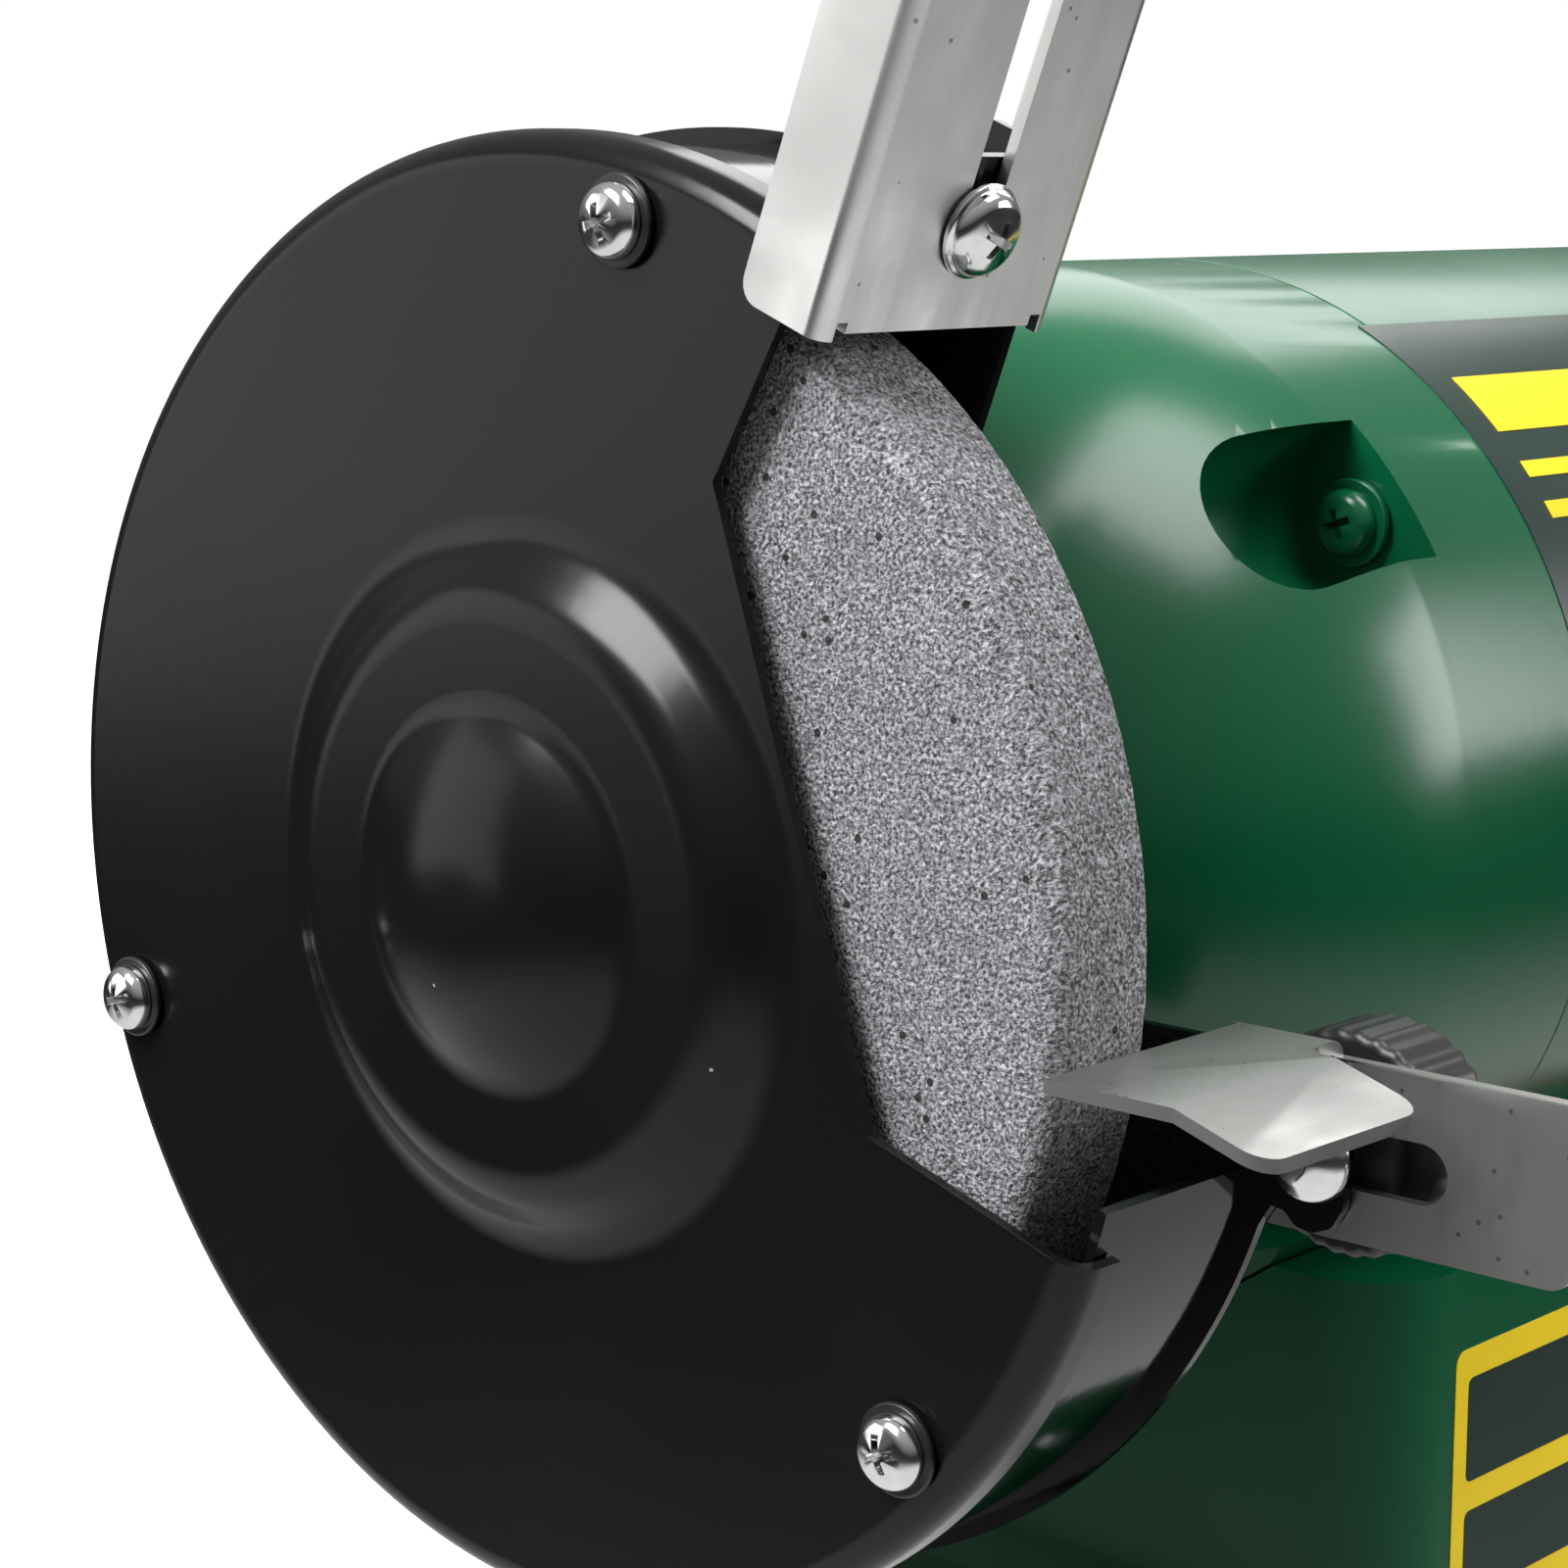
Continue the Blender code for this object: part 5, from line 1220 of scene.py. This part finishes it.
class GRINDER_OT_screws(bpy.types.Operator):
    """Model the cross screws of the covers, brackets and end bells"""

    bl_idname = "grinder.screws"
    bl_label = "Screws"

    def execute(self, context):
        """Model each kind of screw once and copy it to its places."""
        pan = pan_screw("pan_screw", 4.2 * MM, 3.1 * MM, 9 * MM)
        # Each cover screw sits on a thin black washer that lifts its head 0.9 mm; the washer is a
        # painted shadow and reflection beside the head on the glossy cover.
        shade_washer_profile = mm(
            (2, 0, 0.1), (5.2, 0, 0.3), (5.2, 0.9, 0.35), (2, 0.9, 0.1), (2, 0, 0)
        )
        shade_washer = turned("cover_washer", filleted(shade_washer_profile, 4), 40, Matrix.Identity(4))
        for name, angle in COVER_SCREWS:
            place = beside_shaft(COVER_SCREW_CIRCLE, angle)
            spin = Matrix.Rotation(math.radians(angle * 3), 4, "Z")
            seat = place @ Matrix.Translation((0, 0, COVER_X + GAP))
            shade_ring = copied(shade_washer, f"cover_washer_{name}", seat)
            dress_pair(shade_ring, "washer_black", "machine")
            lifted = seat @ Matrix.Translation((0, 0, 0.9 * MM)) @ spin
            screw = copied(pan, f"cover_screw_{name}_piece", lifted)
            node = f"cover_screw_{name}_{{}}"
            dress_pair(screw, "bright_screw", "machine", node)
        bpy.data.objects.remove(shade_washer)
        flanged = pan_screw("flange_screw", 4.6 * MM, 3.6 * MM, 8.6 * MM, 5.3 * MM)
        screw_at = Vector((at(SLOT_INSET), BRACKET_SCREW_HEIGHT, BRACKET_FACE + GAP))
        seat = FACING_BRACKET @ Matrix.Translation(screw_at)
        screw = copied(flanged, "bracket_screw_piece", seat)
        dress_pair(screw, "bright_screw", "machine", "bracket_screw_{}")
        bpy.data.objects.remove(flanged)
        self.through_bolts(pan)
        bpy.data.objects.remove(pan)
        return {"FINISHED"}

    def through_bolts(self, pan):
        """Model the four long green bolts with washers and nuts."""
        seat = at(BOLT_SEAT_INSET) + GAP
        for name, angle in BOLTS:
            place = beside_shaft(BOLT_CIRCLE, angle)
            head = Matrix.Rotation(math.pi, 4, "X") @ Matrix.Translation((0, 0, seat + MM))
            bolt = copied(pan, f"through_bolt_{name}_piece", place @ head)
            corners = [
                (0, seat, 0),
                (2.5 * MM, seat, 0),
                (2.5 * MM, -seat, 0),
                (5.5 * MM, -seat, 0.2 * MM),
                (5.5 * MM, -seat - 1.1 * MM, 0.3 * MM),
                (0, -seat - 1.1 * MM, 0),
            ]
            rest = turned("bolt_shank", filleted(corners, 3), 32, place)
            nut_outline = round_outline((0, 0), 4.9 * MM, 6)
            nut = plate("bolt_nut", nut_outline, seat, seat + 4 * MM, place)
            soften(nut, 0.5 * MM, 2)
            combine(bolt, rest, "UNION")
            combine(bolt, nut, "UNION")
            dress(bolt, "green_enamel", "machine", [f"through_bolt_{name}"])


class GRINDER_OT_brackets(bpy.types.Operator):
    """Model the slotted spark brackets"""

    bl_idname = "grinder.brackets"
    bl_label = "Spark brackets"

    def execute(self, context):
        """Fold the channel, cut its slot, window and reliefs and mirror it."""
        low, high, sheet = BRACKET_LOW, BRACKET_HIGH, BRACKET_SHEET
        face, back = BRACKET_FACE, BRACKET_BACK
        inside = face - sheet
        corners = [
            (back, low, 0),
            (face, low, 2.2 * MM),
            (face, high, 2.2 * MM),
            (back, high, 0),
            (back, high - sheet, 0),
            (inside, high - sheet, 0.8 * MM),
            (inside, low + sheet, 0.8 * MM),
            (back, low + sheet, 0),
        ]
        outline = filleted(corners, 6, closed=True)
        bracket = plate("spark_bracket_piece", outline, BRACKET_BOTTOM, BRACKET_TOP, UP_BRACKET)
        half = 2.65 * MM
        x = at(SLOT_INSET)
        slot_outline = box_outline((x - half, 84.2 * MM), (x + half, 124 * MM), half * 0.999, 8)
        combine(bracket, plate("slot", slot_outline, back, face + 5 * MM, FACING_BRACKET))
        window = (low - MM, BRACKET_FRONT_TOP, back + 9.3 * MM)
        cuts = [(window, (high + MM, BRACKET_TOP + MM, face + MM))]
        reliefs = (low + sheet + 0.9 * MM, high - sheet - 2.5 * MM)
        across = [(low + sheet + 1.4 * MM, high - sheet - 1.4 * MM, 0.9 * MM)]
        across += [(start, start + 1.6 * MM, 2.1 * MM) for start in reliefs]
        for start, end, rise in across:
            corner = (end, BRACKET_BOTTOM + rise, face + MM)
            cuts.append(((start, BRACKET_BOTTOM - MM, inside - 3 * MM), corner))
        for corner_low, corner_high in cuts:
            combine(bracket, block("cut", corner_low, corner_high, FACING_BRACKET))
        drill = rod("drill", SHIELD_PIVOT_HOLE, low - MM, high + MM, 32, AT_SHIELD_PIVOT)
        combine(bracket, drill)
        self.round_flanges(bracket)
        soften(bracket, 0.25 * MM, 2)
        dress_pair(bracket, "zinc_plate", "spark_bracket_{}", "spark_bracket_{}")
        return {"FINISHED"}

    def round_flanges(self, bracket):
        """Round the flanges' rear corners, at the bottom and the top."""
        to_bracket = FACING_BRACKET.inverted()

        def is_rear_corner(start, end):
            """Say whether an edge runs across a flange's rear edge."""
            start, end = to_bracket @ start, to_bracket @ end
            rear = max(start.z, end.z) < BRACKET_BACK + 0.1 * MM
            across = abs(start.x - end.x) > BRACKET_SHEET / 2
            return rear and across and abs(start.y - end.y) < 0.1 * MM

        bevel_edges(bracket, is_rear_corner, 2.6 * MM)


class GRINDER_OT_shields(bpy.types.Operator):
    """Model the tilting eye shields and their pivot bolts"""

    bl_idname = "grinder.shields"
    bl_label = "Eye shields"

    def execute(self, context):
        """Model the clear panel, its black clamp and the pivot bolt and mirror them."""
        low, high = BRACKET_LOW, BRACKET_HIGH
        pivot = on_bracket(*SHIELD_PIVOT)
        rise = math.radians(40)
        along = Vector((0, -math.cos(rise), math.sin(rise)))
        facing = directions(Vector(((low + high) / 2, pivot.y, pivot.z)), X_TO, along)
        outline = box_outline(*mm((-38, 14.5), (38, 65.5)), 8 * MM, 8)
        panel = plate("eye_shield_panel", outline, -1.1 * MM, 1.1 * MM, facing)
        soften(panel, 0.4 * MM, 2)
        dress_pair(panel, "clear_shield", "eye_shield_{}", "eye_shield_{}")
        outline = box_outline(*mm((-37.5, 12.5), (37.5, 21)), 3 * MM, 5)
        clamp = plate("shield_clamp", outline, -1.5 * MM, 1.5 * MM, facing)
        combine(clamp, block("neck", *mm((-14, 4, -2.5), (14, 18, 2.5)), facing), "UNION")
        ends = (low + BRACKET_SHEET + GAP, high - BRACKET_SHEET - GAP)
        combine(clamp, rod("hub", 5 * MM, *ends, 40, AT_SHIELD_PIVOT), "UNION")
        combine(clamp, rod("drill", SHIELD_PIVOT_HOLE, low, high, 32, AT_SHIELD_PIVOT))
        soften(clamp, 0.4 * MM, 2)
        dress_pair(clamp, "black_plastic", "eye_shield_{}")
        rivet_corners = mm((0, 1.1, 0), (2.2, 1.1, 0), (2.2, 2.1, 0.6), (0, 2.4, 0))
        for index, x in enumerate((-27 * MM, 27 * MM)):
            place = facing @ Matrix.Translation((x, 17 * MM, 0))
            rivet = turned(f"shield_rivet_{index + 1}", filleted(rivet_corners, 4), 24, place)
            dress_pair(rivet, "bright_screw", "eye_shield_{}")
        bolt_corners = [
            (0, high + 3.3 * MM, 0),
            (5 * MM, high + 3.3 * MM, 1.6 * MM),
            (5 * MM, high + GAP, 0.2 * MM),
            (3 * MM, high + GAP, 0),
            (3 * MM, low - 4.3 * MM, 0.4 * MM),
            (0, low - 4.3 * MM, 0),
        ]
        bolt = turned("shield_bolt_piece", filleted(bolt_corners, 6), 36, AT_SHIELD_PIVOT)
        nut_outline = round_outline((0, 0), 5.5 * MM, 6)
        nut = plate("nut", nut_outline, low - 3.9 * MM, low - GAP, AT_SHIELD_PIVOT)
        soften(nut, 0.5 * MM, 2)
        combine(bolt, nut, "UNION")
        dress_pair(bolt, "bright_screw", "spark_bracket_{}", "shield_bolt_{}")
        return {"FINISHED"}


class GRINDER_OT_rests(bpy.types.Operator):
    """Model the tool rests, their clamping bolts and knobs"""

    bl_idname = "grinder.rests"
    bl_label = "Tool rests"

    def execute(self, context):
        """Fold the rest, cut its slot and lip, and model its bolt and knob."""
        self.rest()
        self.bolt_and_knob()
        return {"FINISHED"}

    def rest(self):
        """Fold the plate over the upright and lower its lip."""
        outer, inner = at(-MM), at(33.8 * MM)
        under = REST_TOP - REST_SHEET
        corners = [
            (outer, under, 0),
            (outer, REST_TOP, 0),
            (inner, REST_TOP, 2 * MM),
            (inner, -29.5 * MM, 0),
            (inner + REST_SHEET, -29.5 * MM, 0),
            (inner + REST_SHEET, under, 0.6 * MM),
        ]
        outline = filleted(corners, 6, closed=True)
        rest = plate("tool_rest_piece", outline, 76 * MM, 118 * MM, ACROSS_SHAFT)
        plate_end = inner + REST_SHEET + 0.7 * MM
        cuts = (
            ((plate_end - 0.3 * MM, under - 0.4 * MM, 104 * MM), (outer + MM, 2 * MM, 119 * MM)),
            ((inner - MM, under - 0.3 * MM, 89 * MM), (plate_end, 2 * MM, 119 * MM)),
            ((plate_end - 0.3 * MM, under - MM, 89 * MM), (REST_NOTCH, 2 * MM, 105 * MM)),
            ((plate_end, -30 * MM, 75 * MM), (outer + MM, 2 * MM, 77 * MM)),
        )
        for low, high in cuts:
            combine(rest, block("cut", low, high, ACROSS_SHAFT))
        half = 3.25 * MM
        low, high = (-103 * MM, ARM_BOLT[1] - half), (-80.5 * MM, ARM_BOLT[1] + half)
        slot_outline = box_outline(low, high, half * 0.999, 8)
        combine(rest, plate("slot", slot_outline, inner - MM, inner + 3 * MM, ALONG_SHAFT))
        self.lower_lip(rest, under)
        self.round_corners(rest)
        soften(rest, 0.3 * MM, 2, 30)
        dress_pair(rest, "rest_plate", "tool_rest_{}", "tool_rest_{}")

    def lower_lip(self, rest, under):
        """Fold the plate's front down along a straight line."""
        bend = AXIS.y - 93 * MM
        edit_all(rest)
        bpy.ops.mesh.bisect(
            plane_co=(0, bend, 0), plane_no=(0, 1, 0), use_fill=False, clear_inner=False
        )
        bpy.ops.object.mode_set(mode="OBJECT")
        for vertex in rest.data.vertices:
            ahead = bend - vertex.co.y
            on_plate = vertex.co.z > AXIS.z + under - 0.2 * MM
            if ahead > 0 and on_plate and vertex.co.x > at(32 * MM):
                vertex.co.z -= ahead * 3.5 / 11

    def round_corners(self, rest):
        """Round the free corners of the plate and the upright."""

        def is_free_corner(start, end):
            """Say whether an edge is a corner of the plate, its notch or the upright."""
            way = end - start
            y = AXIS.y - start.y
            in_notch = abs(y - 89 * MM) < MM and abs(start.x - REST_NOTCH) < MM
            on_plate = start.x > at(32 * MM) and (y > 103 * MM or in_notch)
            if on_plate and abs(way.z) > 0.9 * way.length:
                return True
            low = start.z < AXIS.z - 29 * MM and (y < 77 * MM or y > 117 * MM)
            tip = y > 117 * MM and start.z > AXIS.z - 12 * MM
            return (low or tip) and 0.9 * way.length < abs(way.x) < 2 * MM

        bevel_edges(rest, is_free_corner, 3.2 * MM)

    def bolt_and_knob(self):
        """Model the cup-head bolt on the arm and the ribbed knob behind the upright."""
        place = AT_ARM_BOLT
        head = GUARD_DEPTH - SHEET - GAP
        end = 44 * MM
        corners = [
            (0, at(head - 3.2 * MM), 0),
            (2.2 * MM, at(head - 3.2 * MM), 2.5 * MM),
            (5 * MM, at(head - MM), 1.6 * MM),
            (5 * MM, at(head), 0.2 * MM),
            (2.6 * MM, at(head), 0),
            (2.6 * MM, at(end), 0.4 * MM),
            (0, at(end), 0),
        ]
        bolt = turned("rest_screw_piece", filleted(corners, 8), 48, place)
        dress_pair(bolt, "bright_screw", "machine", "rest_screw_{}")
        near = 34.1 * MM
        far = near + 12.9 * MM
        outline = []
        steps = 4 * KNOB_RIBS
        for i in range(steps):
            turn = math.tau * i / steps
            radius = 12.5 * MM - sizes().knob_rib * (0.5 + 0.5 * math.cos(KNOB_RIBS * turn))
            outline.append(Vector((radius * math.cos(turn), radius * math.sin(turn))))
        knob = plate("rest_knob_piece", outline, at(far), at(near + 2.4 * MM), place)
        soften(knob, 1.1 * MM, 4, 60)
        combine(knob, rod("boss", 8 * MM, at(near + 3 * MM), at(near), 48, place), "UNION")
        combine(knob, rod("drill", ARM_BOLT_HOLE, at(end + GAP), at(near - MM), 24, place))
        dish_bottom, dish_top = at(far - 1.6 * MM), at(far + MM)
        dish_corners = [
            (0, dish_bottom, 0),
            (8.5 * MM, dish_bottom, MM),
            (9.5 * MM, dish_top, 0),
            (0, dish_top, 0),
        ]
        combine(knob, turned("dish", filleted(dish_corners, 4), 48, place))
        dress_pair(knob, "black_plastic", "rest_knob_{}", "rest_knob_{}")


class GRINDER_OT_motor(bpy.types.Operator):
    """Model the end bells with their scallops, the barrel and its label"""

    bl_idname = "grinder.motor"
    bl_label = "Motor"

    def execute(self, context):
        """Model one bell and mirror it, then the barrel and the label on it."""
        self.bell()
        tube = [
            (BARREL_RADIUS - 3.5 * MM, BARREL_HALF, 0.2 * MM),
            (BARREL_RADIUS, BARREL_HALF, 0.4 * MM),
            (BARREL_RADIUS, -BARREL_HALF, 0.4 * MM),
            (BARREL_RADIUS - 3.5 * MM, -BARREL_HALF, 0.2 * MM),
        ]
        profile = filleted(tube, 4, closed=True)
        barrel = turned("motor_barrel_piece", profile, 160, ALONG_SHAFT, closed=True)
        dress(barrel, "green_enamel", "machine", ["motor_barrel"])
        self.label()
        return {"FINISHED"}

    def curve_of_bell(self, nose, nose_radius, length, radius, steps=40):
        """Return the bell's full curve from its nose to its greatest radius."""
        points = []
        for i in range(steps + 1):
            turn = math.pi / 2 * i / steps
            along = math.cos(turn) ** 1.25 if i < steps else 0
            out = nose_radius + (radius - nose_radius) * math.sin(turn) ** 1.25
            points.append((out, nose - length * (1 - along)))
        return points

    def pocket(self, name, seat, wall, place):
        """Model a round-ended pocket, grown by a wall."""
        radius = SCALLOP_RADIUS + wall
        tip = at(BOLT_SEAT_INSET) + SCALLOP_LENGTH + wall
        points = []
        for i in range(13):
            turn = math.pi / 2 * i / 12
            points.append((radius * math.sin(turn), tip - radius * (1 - math.cos(turn))))
        return turned(name, [*points, (radius, seat), (0, seat)], 48, place)

    def bell(self):
        """Turn the shell, hollow it and cut the four pockets for the bolts."""
        seam = BARREL_HALF + GAP
        hole = 10 * MM
        outer = [(hole, NOSE_X)]
        outer += self.curve_of_bell(NOSE_X, 38 * MM, 55.7 * MM, BARREL_RADIUS)
        outer += [(BARREL_RADIUS, seam), (hole, seam)]
        bell = turned("end_bell_piece", spaced_once(outer), 144, ALONG_SHAFT, closed=True)
        wall_x = NOSE_X - 4 * MM
        boss, boss_x = 22 * MM, wall_x - 11.3 * MM
        inner = [(boss, wall_x)]
        inner += self.curve_of_bell(wall_x, 34 * MM, 55.7 * MM, BARREL_RADIUS - 4 * MM)
        inner += [
            (BARREL_RADIUS - 4 * MM, seam - 2 * MM),
            (8 * MM, seam - 2 * MM),
            (8 * MM, wall_x),
            (17.8 * MM, wall_x),
            (17.8 * MM, boss_x),
            (boss, boss_x),
        ]
        cavity = turned("bell_cavity", spaced_once(inner), 96, ALONG_SHAFT, closed=True)
        seat_x = at(BOLT_SEAT_INSET)
        for _, angle in BOLTS:
            place = beside_shaft(SCALLOP_CIRCLE, angle)
            combine(cavity, self.pocket("pocket_wall", seat_x - 5 * MM, 3 * MM, place))
        combine(bell, cavity)
        for _, angle in BOLTS:
            place = beside_shaft(SCALLOP_CIRCLE, angle)
            combine(bell, self.pocket("pocket", seat_x, 0, place))
            bolt_way = beside_shaft(BOLT_CIRCLE, angle)
            combine(bell, rod("drill", 2.8 * MM, seat_x - 7 * MM, seat_x + MM, 24, bolt_way))
        soften(bell, 0.5 * MM, 3, 38)
        dress_pair(bell, "green_enamel", "machine", "end_bell_{}", 50)

    def label(self):
        """Lay a dark label with plain marks round the front of the barrel."""
        start, end = -68.8 * MM, 40 * MM
        patch_radius = BARREL_RADIUS + 0.12 * MM
        self.patch("motor_label", patch_radius, (start, end), (-12, 62), "label_dark")
        bar_radius = patch_radius + 0.12 * MM
        for index, (width, low, high) in enumerate(LABEL_BARS):
            name = f"label_bar_{index + 1}"
            mark = (LABEL_BARS_FROM * MM, (LABEL_BARS_FROM + width) * MM)
            self.patch(name, bar_radius, mark, (low, high), "label_mark")

    def patch(self, name, radius, along, angles, finish):
        """Lay a thin curved sheet on the barrel, between two angles and two places."""
        lift = 0.1 * MM
        profile = [
            (radius, along[0]),
            (radius, along[1]),
            (radius - lift, along[1]),
            (radius - lift, along[0]),
        ]
        turn = Matrix.Rotation(math.radians(180 - angles[1]), 4, "Z")
        sweep = math.radians(angles[1] - angles[0])
        sheet = turned(name, profile, 48, ALONG_SHAFT @ turn, sweep, closed=True)
        edit_all(sheet)
        bpy.ops.mesh.select_mode(type="EDGE")
        bpy.ops.mesh.select_all(action="DESELECT")
        bpy.ops.mesh.select_non_manifold()
        bpy.ops.mesh.edge_face_add()
        bpy.ops.mesh.select_all(action="SELECT")
        bpy.ops.mesh.normals_make_consistent(inside=False)
        bpy.ops.object.mode_set(mode="OBJECT")
        dress(sheet, finish, "machine")


class GRINDER_OT_base(bpy.types.Operator):
    """Model the pedestal, its label, base plate, feet and switch"""

    bl_idname = "grinder.base"
    bl_label = "Base"

    def execute(self, context):
        """Model the base from the bench up."""
        self.pedestal()
        self.feet_and_plate()
        self.front_label()
        self.switch()
        return {"FINISHED"}

    def pedestal(self):
        """Model the hollow pedestal with its flange, saddle and openings."""
        half = PEDESTAL_HALF
        bottom, top = PEDESTAL_BOTTOM, PEDESTAL_TOP
        outline = box_outline(-half, half, PEDESTAL_CORNER, 10)
        body = plate("base_pedestal_piece", outline, bottom, top, ON_BENCH)
        reach = half + Vector((15 * MM, 2 * MM))
        flange_outline = box_outline(-reach, reach, PEDESTAL_CORNER, 10)
        flange = plate("flange", flange_outline, bottom, bottom + 4 * MM, ON_BENCH)
        combine(body, flange, "UNION")
        wall = Vector((3 * MM, 3 * MM))
        inside = box_outline(-half + wall, half - wall, 9 * MM, 10)
        hollow = plate("hollow", inside, bottom - 5 * MM, top - 3 * MM, ON_BENCH)
        ends = (-120 * MM, 120 * MM)
        combine(hollow, rod("saddle_wall", 72.8 * MM, *ends, 128, ALONG_SHAFT))
        combine(body, hollow)
        combine(body, rod("saddle", BARREL_RADIUS + GAP, *ends, 128, ALONG_SHAFT))
        hole = 7.5 * MM
        for x in (-1, 1):
            for y in (-45 * MM, 45 * MM):
                place = Matrix.Translation((x * (half.x + hole), AXIS.y + y, 0))
                combine(body, rod("drill", 3.6 * MM, 5 * MM, 25 * MM, 32, place))
        low = (-13.3 * MM, -half.y - 5 * MM, SWITCH_HEIGHT - 16.3 * MM)
        high = (13.3 * MM, -half.y + 8 * MM, SWITCH_HEIGHT + 16.3 * MM)
        combine(body, block("switch_window", low, high, ON_BENCH))
        combine(body, rod("drill", 6.8 * MM, -8 * MM, 4 * MM, 40, THROUGH_WALL))
        soften(body, MM, 4, 50)
        dress(body, "green_enamel", "machine", ["base_pedestal"], 50)

    def feet_and_plate(self):
        """Model the base plate and the four ribbed rubber feet."""
        outline = box_outline(-PEDESTAL_HALF, PEDESTAL_HALF, PEDESTAL_CORNER, 10)
        cover = plate("base_plate_piece", outline, 10.3 * MM, 12.3 * MM, ON_BENCH)
        soften(cover, 0.4 * MM, 2)
        dress(cover, "zinc_plate", "machine", ["base_plate"])
        corners = mm((0, 10, 0), (10, 10, 0.8), (10.4, 7, 0.5), (9.6, 6.4, 0.4))
        corners += mm((9.7, 5.4, 0.4), (11, 4.6, 0.6), (11, 0, 1.2))
        corners += mm((3.2, 0, 0.6), (2.6, 3, 0.4), (0, 3, 0))
        foot = turned("foot", filleted(corners, 5), 48, Matrix.Identity(4))
        for side_x, name_x in ((-1, "left"), (1, "right")):
            for side_y, name_y in ((-1, "front"), (1, "rear")):
                place = Matrix.Translation((side_x * 75 * MM, AXIS.y + side_y * 42 * MM, 0))
                node = f"foot_{name_x}_{name_y}"
                made = copied(foot, f"{node}_piece", place)
                dress(made, "black_rubber", "machine", [node])
        bpy.data.objects.remove(foot)

    def front_label(self):
        """Lay a plain coloured label on the pedestal's front."""
        face = AXIS.y - PEDESTAL_HALF.y
        facing = directions(Vector((0, face, 0)), X_TO, Z_TO)
        outline = box_outline(*mm((-81, 22), (-24, 60)), 2 * MM, 5)
        sheet = plate("front_label", outline, 0.02 * MM, 0.14 * MM, facing)
        dress(sheet, "label_mark", "machine")
        for index, (low, high) in enumerate(((26, 38), (42, 56))):
            outline = box_outline(*mm((-78, low), (-27, high)), MM, 3)
            name = f"front_label_field_{index + 1}"
            mark = plate(name, outline, 0.14 * MM, 0.22 * MM, facing)
            dress(mark, "label_dark", "machine")

    def switch(self):
        """Model the switch frame and its rocker."""
        face = AXIS.y - PEDESTAL_HALF.y - GAP - 2.5 * MM
        facing = directions(Vector((0, face, SWITCH_HEIGHT)), X_TO, Z_TO)
        outline = box_outline(*mm((-16, -19), (16, 19)), 3 * MM, 6)
        body = plate("switch_body_piece", outline, -2.5 * MM, 0, facing)
        inner = block("inner", *mm((-13, -16, -22.5), (13, 16, -1.25)), facing)
        combine(body, inner, "UNION")
        combine(body, block("pocket", *mm((-7.4, -11.2, -14), (7.4, 11.2, 2)), facing))
        soften(body, 0.7 * MM, 3, 50)
        dress(body, "black_plastic", "machine", ["switch_body"])
        pivot = Matrix.Translation((0, face + 3 * MM, SWITCH_HEIGHT))
        tilt = Matrix.Rotation(math.radians(10), 4, "X")
        place = pivot @ tilt @ directions(Vector((0, 0, 0)), Y_TO, Z_TO)
        corners = mm((-5.5, 9, 0.6), (-4, 0, 14), (-5.5, -9, 0.6), (1, -9.5, 0.5))
        corners += mm((7, -5, 1), (7, 5, 1), (1, 9.5, 0.5))
        outline = filleted(corners, 8, closed=True)
        rocker = plate("switch_rocker_piece", outline, -7 * MM, 7 * MM, place)
        soften(rocker, 0.5 * MM, 3, 50)
        dress(rocker, "rocker_plastic", "rocker", ["switch_rocker"])


OPERATORS = [
    GRINDER_OT_finishes,
    GRINDER_OT_stage,
    GRINDER_OT_cord,
    GRINDER_OT_wheels,
    GRINDER_OT_covers,
    GRINDER_OT_guards,
    GRINDER_OT_screws,
    GRINDER_OT_brackets,
    GRINDER_OT_shields,
    GRINDER_OT_rests,
    GRINDER_OT_motor,
    GRINDER_OT_base,
]


class GRINDER_PT_pieces(bpy.types.Panel):
    """Lists the grinder's pieces in the sidebar."""

    bl_label = "Bench Grinder"
    bl_space_type = "VIEW_3D"
    bl_region_type = "UI"
    bl_category = "Grinder"

    def draw(self, context):
        """Draw the settings and one button for each operator."""
        for group in (sizes(), colours()):
            box = self.layout.box()
            for key in group.bl_rna.properties.keys():
                if key not in ("rna_type", "name"):
                    box.prop(group, key)
        for operator in OPERATORS:
            self.layout.operator(operator.bl_idname)


CLASSES = [GrinderSizes, GrinderColours, *OPERATORS, GRINDER_PT_pieces]


def register():
    """Register the classes and the scene's settings."""
    for cls in CLASSES:
        bpy.utils.register_class(cls)
    bpy.types.Scene.grinder_sizes = bpy.props.PointerProperty(type=GrinderSizes)
    bpy.types.Scene.grinder_colours = bpy.props.PointerProperty(type=GrinderColours)


def unregister():
    """Remove the settings and the classes."""
    del bpy.types.Scene.grinder_colours
    del bpy.types.Scene.grinder_sizes
    for cls in reversed(CLASSES):
        bpy.utils.unregister_class(cls)


def main():
    """Model the whole grinder."""
    register()
    for operator in OPERATORS:
        category, name = operator.bl_idname.split(".")
        getattr(getattr(bpy.ops, category), name)()


if __name__ == "__main__":
    main()
